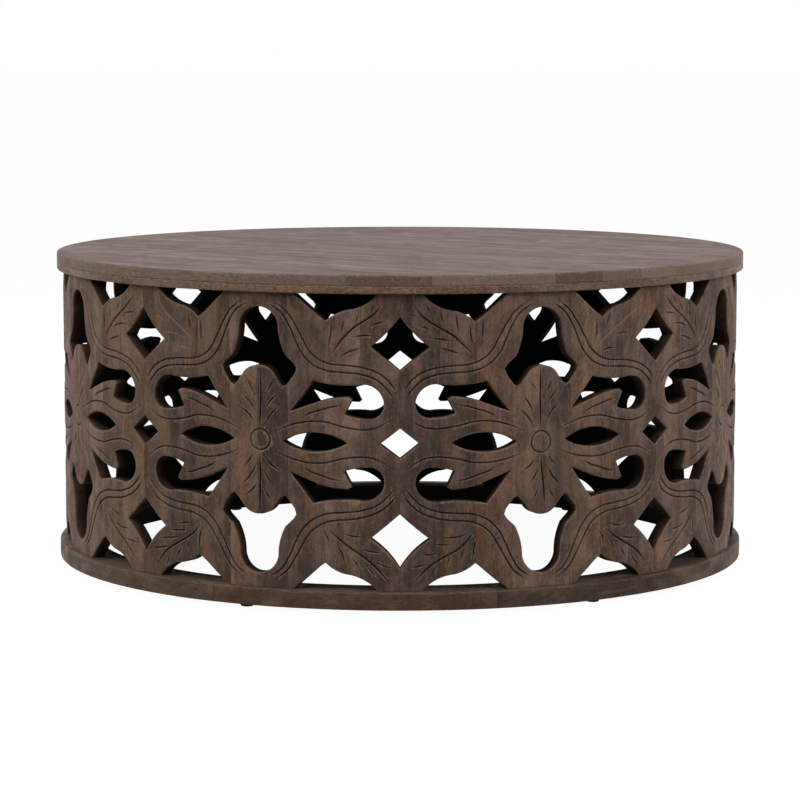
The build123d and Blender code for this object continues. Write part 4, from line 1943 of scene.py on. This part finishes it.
@dataclass
class CarvedWall:
    """The drum's wall of pierced and grooved panels.

    A panel's flat place (u, w) and its depth t under the outer face become a point at
    radius R - t and angle asin(u / R), so that every cut runs towards the axis.

    Args:
        sizes: of the drum.
        drift: how far the carver's hand strays from the template.
        drift_lengths: wavelengths of that.
        drift_power: how near to the panel's edges it still goes.
        hollow: mean depth of the shallow hollows of the face.
        hollow_lengths: their wavelengths.
        shy: how far the wall stays inside its solid.
        wall_rows: rows of points through the wall, as shares of its thickness.
        painted_wall_shade: painted shade on the walls of the openings at each row, darker towards
            the inner face.
        stave_joints: where a panel's staves meet, from its middle.
        first_plank: number of the first panel's first stave in the grain.
        planks: numbers that a panel takes.
        finish: of its wood.
    """

    sizes: DrumSizes
    drift: float = 0.9 * MM
    drift_lengths: tuple[float, ...] = (0.23, 0.14, 0.085, 0.06)
    drift_power: int = 8
    hollow: float = 0.14 * MM
    hollow_lengths: tuple[float, ...] = (0.07, 0.045, 0.031)
    shy: float = 0.15 * MM
    wall_rows: tuple[float, ...] = (0.1, 0.3, 0.55, 0.8, 0.95)
    # Painted shade on the walls of the openings, darker towards the inner face
    painted_wall_shade: tuple[float, ...] = (0.52, 0.68, 0.78, 0.85, 0.9)
    stave_joints: tuple[int, ...] = (-200, -139, -92, -42, 0, 42, 92, 139, 200)
    first_plank: int = 40
    planks: int = 10
    finish: WoodFinish = CARVED_WOOD

    # Painted shade at the bottom of the grooves
    PAINTED_GROOVE_SHADE = 0.85
    # Painted shade on the inner face
    PAINTED_INNER_SHADE = 0.98
    # Panels at the back, whose walls and inner face get a deeper painted shade
    FAR_PANELS = range(2, 6)
    PAINTED_FAR_SHADE = 0.985

    def build(self) -> None:
        """Make every panel; those of the front side have veins of their own."""
        relief = self._relief()
        front, back = relief.front(), relief.back()
        LOG.info("carving: %d front and %d back triangles", len(front.faces), len(back.faces))
        rims = [len(loop) for loop in relief.loops]
        own = {i: self._relief(*veins).front() for i, veins in OWN_VEINS.items()}
        for i in range(self.sizes.panel_count):
            self._panel(i, own.get(i, front), back, rims)

    def _relief(self, own_cuts: Sequence[Groove] = (),
                bud: tuple[float, float] = (0.0, 0.0)) -> CarvedRelief:
        """The relief of one kind of panel."""
        return CarvedRelief(CarvingTemplate(
            self.sizes.half_width, self.sizes.half_height, own_cuts, bud))

    def _strayed(self, flat: Points, middle: float) -> Points:
        """Move places by the carver's drift, which is still at the panel's edges.

        Args:
            flat: (n, 2) places.
            middle: angle of the panel's middle.

        Returns:
            (n, 2) places, moved by two ripples of the place on the drum.
        """
        angle = middle + flat[:, 0] / self.sizes.wall_radius
        place = np.stack([
            np.sin(angle) * self.sizes.wall_radius,
            np.cos(angle) * self.sizes.wall_radius, flat[:, 1],
        ], axis=-1)
        rng = np.random.default_rng(SEED)
        shift = np.stack([waves(place, self.drift_lengths, rng) for _ in range(2)], axis=-1)
        halves = np.array([self.sizes.half_width, self.sizes.half_height])
        still = 1 - (np.abs(flat) / halves) ** self.drift_power
        return flat + self.drift * shift * np.clip(still, 0, 1)

    def _placed(self, flat: Points, depth: Points, middle: float) -> Points:
        """Places in the row frame of flat places at a depth under the outer face."""
        radius = self.sizes.wall_radius - self.shy - depth
        angle = middle + np.arcsin(np.clip(flat[:, 0] / self.sizes.wall_radius, -1, 1))
        return around(radius, angle, self.sizes.wall_middle + flat[:, 1])

    def _faces(self, front: CarvedSheet, back: CarvedSheet,
               rims: Sequence[int]) -> list[np.ndarray]:
        """Join the two sheets by walls round their loops.

        Args:
            front: the outer sheet.
            back: the inner sheet.
            rims: points in each loop.

        Returns:
            The faces of the sheets and of each loop's wall, outwards.
        """
        n_front, on_rim, n_rows = len(front.points), sum(rims), len(self.wall_rows)
        back_start = n_front + n_rows * on_rim
        faces = [front.faces, back.faces[:, ::-1] + back_start]
        starts = np.array([0, *(n_front + k * on_rim for k in range(n_rows)), back_start])
        first = 0
        for count in rims:
            ids = starts[:, None] + first + np.arange(count)
            faces.append(grid_faces(ids, closed=True)[:, ::-1])
            first += count
        return faces

    def _panel(self, i: int, front: CarvedSheet, back: CarvedSheet,
               rims: Sequence[int]) -> None:
        """Make one panel.

        Args:
            i: its number, from 0.
            front: its outer sheet.
            back: its inner sheet.
            rims: points in each loop.
        """
        middle = self.sizes.panel_angle * (i + 0.5)
        on_rim, n_rows = sum(rims), len(self.wall_rows)
        flat_front, flat_back = (self._strayed(x.points, middle) for x in (front, back))
        rng = np.random.default_rng(SEED + i)
        hollow = self.hollow * (1 + waves(front.points, self.hollow_lengths, rng))
        depth_front = front.drop + hollow * (1 - front.arris)
        depth_back = self.sizes.wall_thickness - 2 * self.shy - back.drop
        through = [depth_front[:on_rim] * (1 - share) + depth_back[:on_rim] * share
                   for share in self.wall_rows]
        flat = np.concatenate([flat_front, *[flat_front[:on_rim]] * n_rows, flat_back])
        depth = np.concatenate([depth_front, *through, depth_back])
        # Painted shade: darker in the grooves, on the walls of the openings towards the inner
        # face, and on the inner face
        painted_shade_and_joints = np.concatenate([
            self.PAINTED_GROOVE_SHADE * front.painted_shade_and_joints, np.repeat(self.painted_wall_shade, on_rim),
            np.full(len(back.points), self.PAINTED_INNER_SHADE),
        ])
        # Deeper painted shade on the walls and inner face of the panels at the back
        if i in self.FAR_PANELS:
            painted_shade_and_joints[len(flat_front):] = self.PAINTED_FAR_SHADE
        behind = np.zeros(n_rows * on_rim + len(back.points))
        shift = rng.uniform(0, GRAIN_SHIFT, 3)
        joints = np.array(self.stave_joints) * MM
        stave = np.interp(flat[:, 0], joints, np.arange(len(joints)))
        points, faces = self._placed(flat, depth, middle), self._faces(front, back, rims)
        mesh = MeshArrays(points, faces, floats={
            "painted_shade_and_joints": painted_shade_and_joints, "arris": np.concatenate([front.arris, behind]),
            "worn": np.concatenate([front.worn, behind]),
            "plank": stave + self.first_plank + self.planks * i,
        }, vectors={"grain": np.stack([flat[:, 1], flat[:, 0], depth], axis=-1) + shift})
        name = f"carved_panel_{i + 1}"
        settle(mesh.piece(f"{name}_oiled"), self.finish, name)


@dataclass
class Glides:
    """Black moulded glides under the base ring, each a profile turned about its axis.

    Args:
        sizes: of the drum.
        angles: in degrees, where they stand.
        radius: of a glide.
        rounds: points round a glide.
        finish: of the plastic.
    """

    sizes: DrumSizes
    angles: tuple[float, ...] = (-25.7, 33.4, 90.0, 145.2, 214.1, 274.0)
    radius: float = 10 * MM
    rounds: int = 48
    finish: PlainFinish = BLACK_PLASTIC

    @property
    def circle(self) -> float:
        """Radius of the circle on which they stand: the middle of the base ring."""
        return (self.sizes.radius + self.sizes.base_ring_inner) / 2

    def _profile(self) -> Points:
        """Radius and height from the middle of the top to the middle of the foot."""
        r, top = self.radius, self.sizes.ring_underside
        return np.array([
            (0.0, top), (0.62 * r, top), (r - 0.5 * MM, top), (r - 0.1 * MM, top - 0.15 * MM),
            (r, top - 0.6 * MM), (r - 0.25 * MM, top - 2.2 * MM), (0.93 * r, 2.2 * MM),
            (0.9 * r, 1.2 * MM), (0.84 * r, 0.45 * MM), (0.74 * r, 0.08 * MM),
            (0.6 * r, 0.0), (0.0, 0.0),
        ])

    def build(self) -> None:
        """Make the six glides as one piece, as their node is."""
        profile = self._profile()
        turn = np.linspace(0, 2 * math.pi, self.rounds, endpoint=False)
        rows = around(profile[:, :1], turn[None, :], profile[:, 1:])
        one = rows.reshape(-1, 3)
        faces = grid_faces(np.arange(len(one)).reshape(rows.shape[:2]), closed=True)
        where = np.radians(np.array(self.angles))
        centres = around(np.full(len(where), self.circle), where, np.zeros(len(where)))
        points = (one[None] + centres[:, None]).reshape(-1, 3)
        faces = np.concatenate([faces + k * len(one) for k in range(len(where))])
        piece = MeshArrays(points, [faces]).piece("glides_moulded")
        merge_poles(piece)
        settle(piece, self.finish, "glides")


def merge_poles(piece: bpy.types.Object) -> None:
    """Merge the doubled vertices where a turned profile meets its axis.

    Args:
        piece: with a mesh of its own, which is changed.
    """
    work = bmesh.new()
    work.from_mesh(piece.data)
    bmesh.ops.remove_doubles(work, verts=work.verts, dist=TOUCHING)
    bmesh.ops.recalc_face_normals(work, faces=work.faces)
    work.to_mesh(piece.data)
    work.free()
    piece.data.set_sharp_from_angle(angle=SHARP_ANGLE)


class HiddenJoinery:
    """Tenons and nails, which keep their own meshes and only get a finish."""

    NODES = {"base_tenons": RAW_WOOD, "top_tenons": RAW_WOOD, "glide_nails": BRIGHT_STEEL}

    def build(self, nodes: dict[str, bpy.types.Object]) -> None:
        """Give each node its material.

        Args:
            nodes: the frame's objects by name.
        """
        for name, finish in self.NODES.items():
            slots = nodes[name].data.materials
            slots.clear()
            slots.append(finish.material())
            LOG.info("%s: finish %s", name, finish.name)


# ---------- studio


@dataclass(frozen=True)
class Lamp:
    """Large soft square lamp aimed at the table.

    Args:
        name: of the lamp.
        place: of its middle.
        size: of its sides.
        power: in watts.
    """

    name: str
    place: tuple[float, float, float]
    size: float
    power: float

    AIM = Vector((0.0, 0.0, 0.25))

    def build(self) -> None:
        """Hang the lamp."""
        data = bpy.data.lights.new(self.name, "AREA")
        data.shape = "SQUARE"
        data.size = self.size
        data.energy = self.power
        lamp = linked(self.name, data)
        lamp.location = self.place
        aim = self.AIM - Vector(self.place)
        lamp.rotation_euler = aim.to_track_quat("-Z", "Y").to_euler()


@dataclass
class Studio:
    """Plain pale floor, soft light and the camera.

    Args:
        focal: length of the camera's lens, in millimetres.
        sensor: width of its sensor, in millimetres.
        distance: of the camera in front of the drum's axis.
        height: of the camera.
        pitch: how far it looks down.
        lamps: that light the table.
        floor_half: half the side of the floor.
        floor_tint: of the floor, as the table sees it.
        bounce_tint: of the light that the floor throws back.
        floor_glow: strength of the white that the camera sees.
        floor_share: how much of that is in the floor's look; the rest shows shadow.
        sky: strength of the world's light.
    """

    focal: float = 134.22
    sensor: float = 36.0
    distance: float = 4.365
    height: float = 0.7593
    pitch: float = math.radians(6.967)
    lamps: tuple[Lamp, ...] = (
        Lamp("key", (-2.6, -1.7, 2.5), 2.2, 37.0),
        Lamp("fill", (2.8, -1.8, 1.9), 2.0, 29.0),
        Lamp("overhead", (0.0, 0.5, 3.2), 2.6, 20.0),
    )
    floor_half: float = 60.0
    floor_tint: float = 0.82
    bounce_tint: float = 0.12
    floor_glow: float = 1.12
    floor_share: float = 0.86
    sky: float = 0.25

    def build(self) -> None:
        """Make the whole studio."""
        self._camera()
        self._floor()
        self._world()
        for lamp in self.lamps:
            lamp.build()
        bpy.context.scene.view_settings.view_transform = "Standard"

    def _camera(self) -> None:
        """Camera straight in front, tilted down."""
        data = bpy.data.cameras.new("camera")
        data.lens = self.focal
        data.sensor_width = self.sensor
        camera = linked("camera", data)
        camera.location = (0.0, -self.distance, self.height)
        camera.rotation_euler = (math.pi / 2 - self.pitch, 0.0, 0.0)
        bpy.context.scene.camera = camera

    def _seen(self, sh: Shader) -> tuple[bpy.types.NodeOutputs, Socket]:
        """The kinds of ray, and 1 for rays of the camera and of reflections."""
        rays = sh.node("LightPath").outputs
        return rays, sh.math("MAXIMUM", rays["Is Camera Ray"], rays["Is Glossy Ray"])

    def _floor(self) -> None:
        """Pale floor that looks white and keeps a soft shadow."""
        corners = np.array([(-1, -1, 0), (1, -1, 0), (1, 1, 0), (-1, 1, 0)], float)
        quad = [np.array([[0, 1, 2, 3]])]
        floor = MeshArrays(corners * self.floor_half, quad).piece("floor")
        made = bpy.data.materials.new("pale_floor")
        made.use_nodes = True
        sh = Shader(made.node_tree)
        made.node_tree.nodes.remove(made.node_tree.nodes["Principled BSDF"])
        rays, seen = self._seen(sh)
        pale = sh.mix(rays["Is Diffuse Ray"], rgba((self.floor_tint,) * 3),
                      rgba((self.bounce_tint,) * 3))
        plain = sh.node("BsdfDiffuse", {"Color": pale})
        white = sh.node("Emission", {"Color": rgba((1.0, 1.0, 1.0)), "Strength": self.floor_glow})
        share = sh.math("MULTIPLY", seen, self.floor_share)
        both = sh.node("MixShader", {0: share, 1: plain.outputs[0], 2: white.outputs[0]})
        sh.feed(made.node_tree.nodes["Material Output"].inputs["Surface"], both.outputs[0])
        floor.data.materials.append(made)

    def _world(self) -> None:
        """Even pale light, seen as white."""
        world = bpy.data.worlds.new("studio")
        bpy.context.scene.world = world
        world.use_nodes = True
        sh = Shader(world.node_tree)
        _, seen = self._seen(sh)
        rest = sh.math("MULTIPLY", seen, 1.0 - self.sky)
        backdrop = world.node_tree.nodes["Background"]
        backdrop.inputs["Color"].default_value = rgba((1.0, 1.0, 1.0))
        sh.feed(backdrop.inputs["Strength"], sh.math("ADD", rest, self.sky))


# ---------- table


def main() -> None:
    """Load the frame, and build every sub-assembly and the studio."""
    logging.basicConfig(level=logging.INFO, format="%(relativeCreated)6d ms %(message)s")
    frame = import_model()
    sizes = DrumSizes.from_frame()
    TopBoards(sizes).build()
    RingSegments("top_ring", sizes, low=sizes.wall_top, high=sizes.boards_underside,
                 inner=sizes.top_ring_inner, straight_inside=True,
                 arris_low=1.8 * MM, arris_high=0.9 * MM, finish=RIM_WOOD).build()
    RingSegments("base_ring", sizes, low=sizes.ring_underside, high=sizes.wall_bottom,
                 inner=sizes.base_ring_inner, straight_inside=False,
                 arris_low=1.6 * MM, arris_high=2.6 * MM, finish=BASE_WOOD).build()
    CarvedWall(sizes).build()
    Glides(sizes).build()
    HiddenJoinery().build(frame["nodes"])
    Studio().build()


if __name__ == "__main__":
    main()
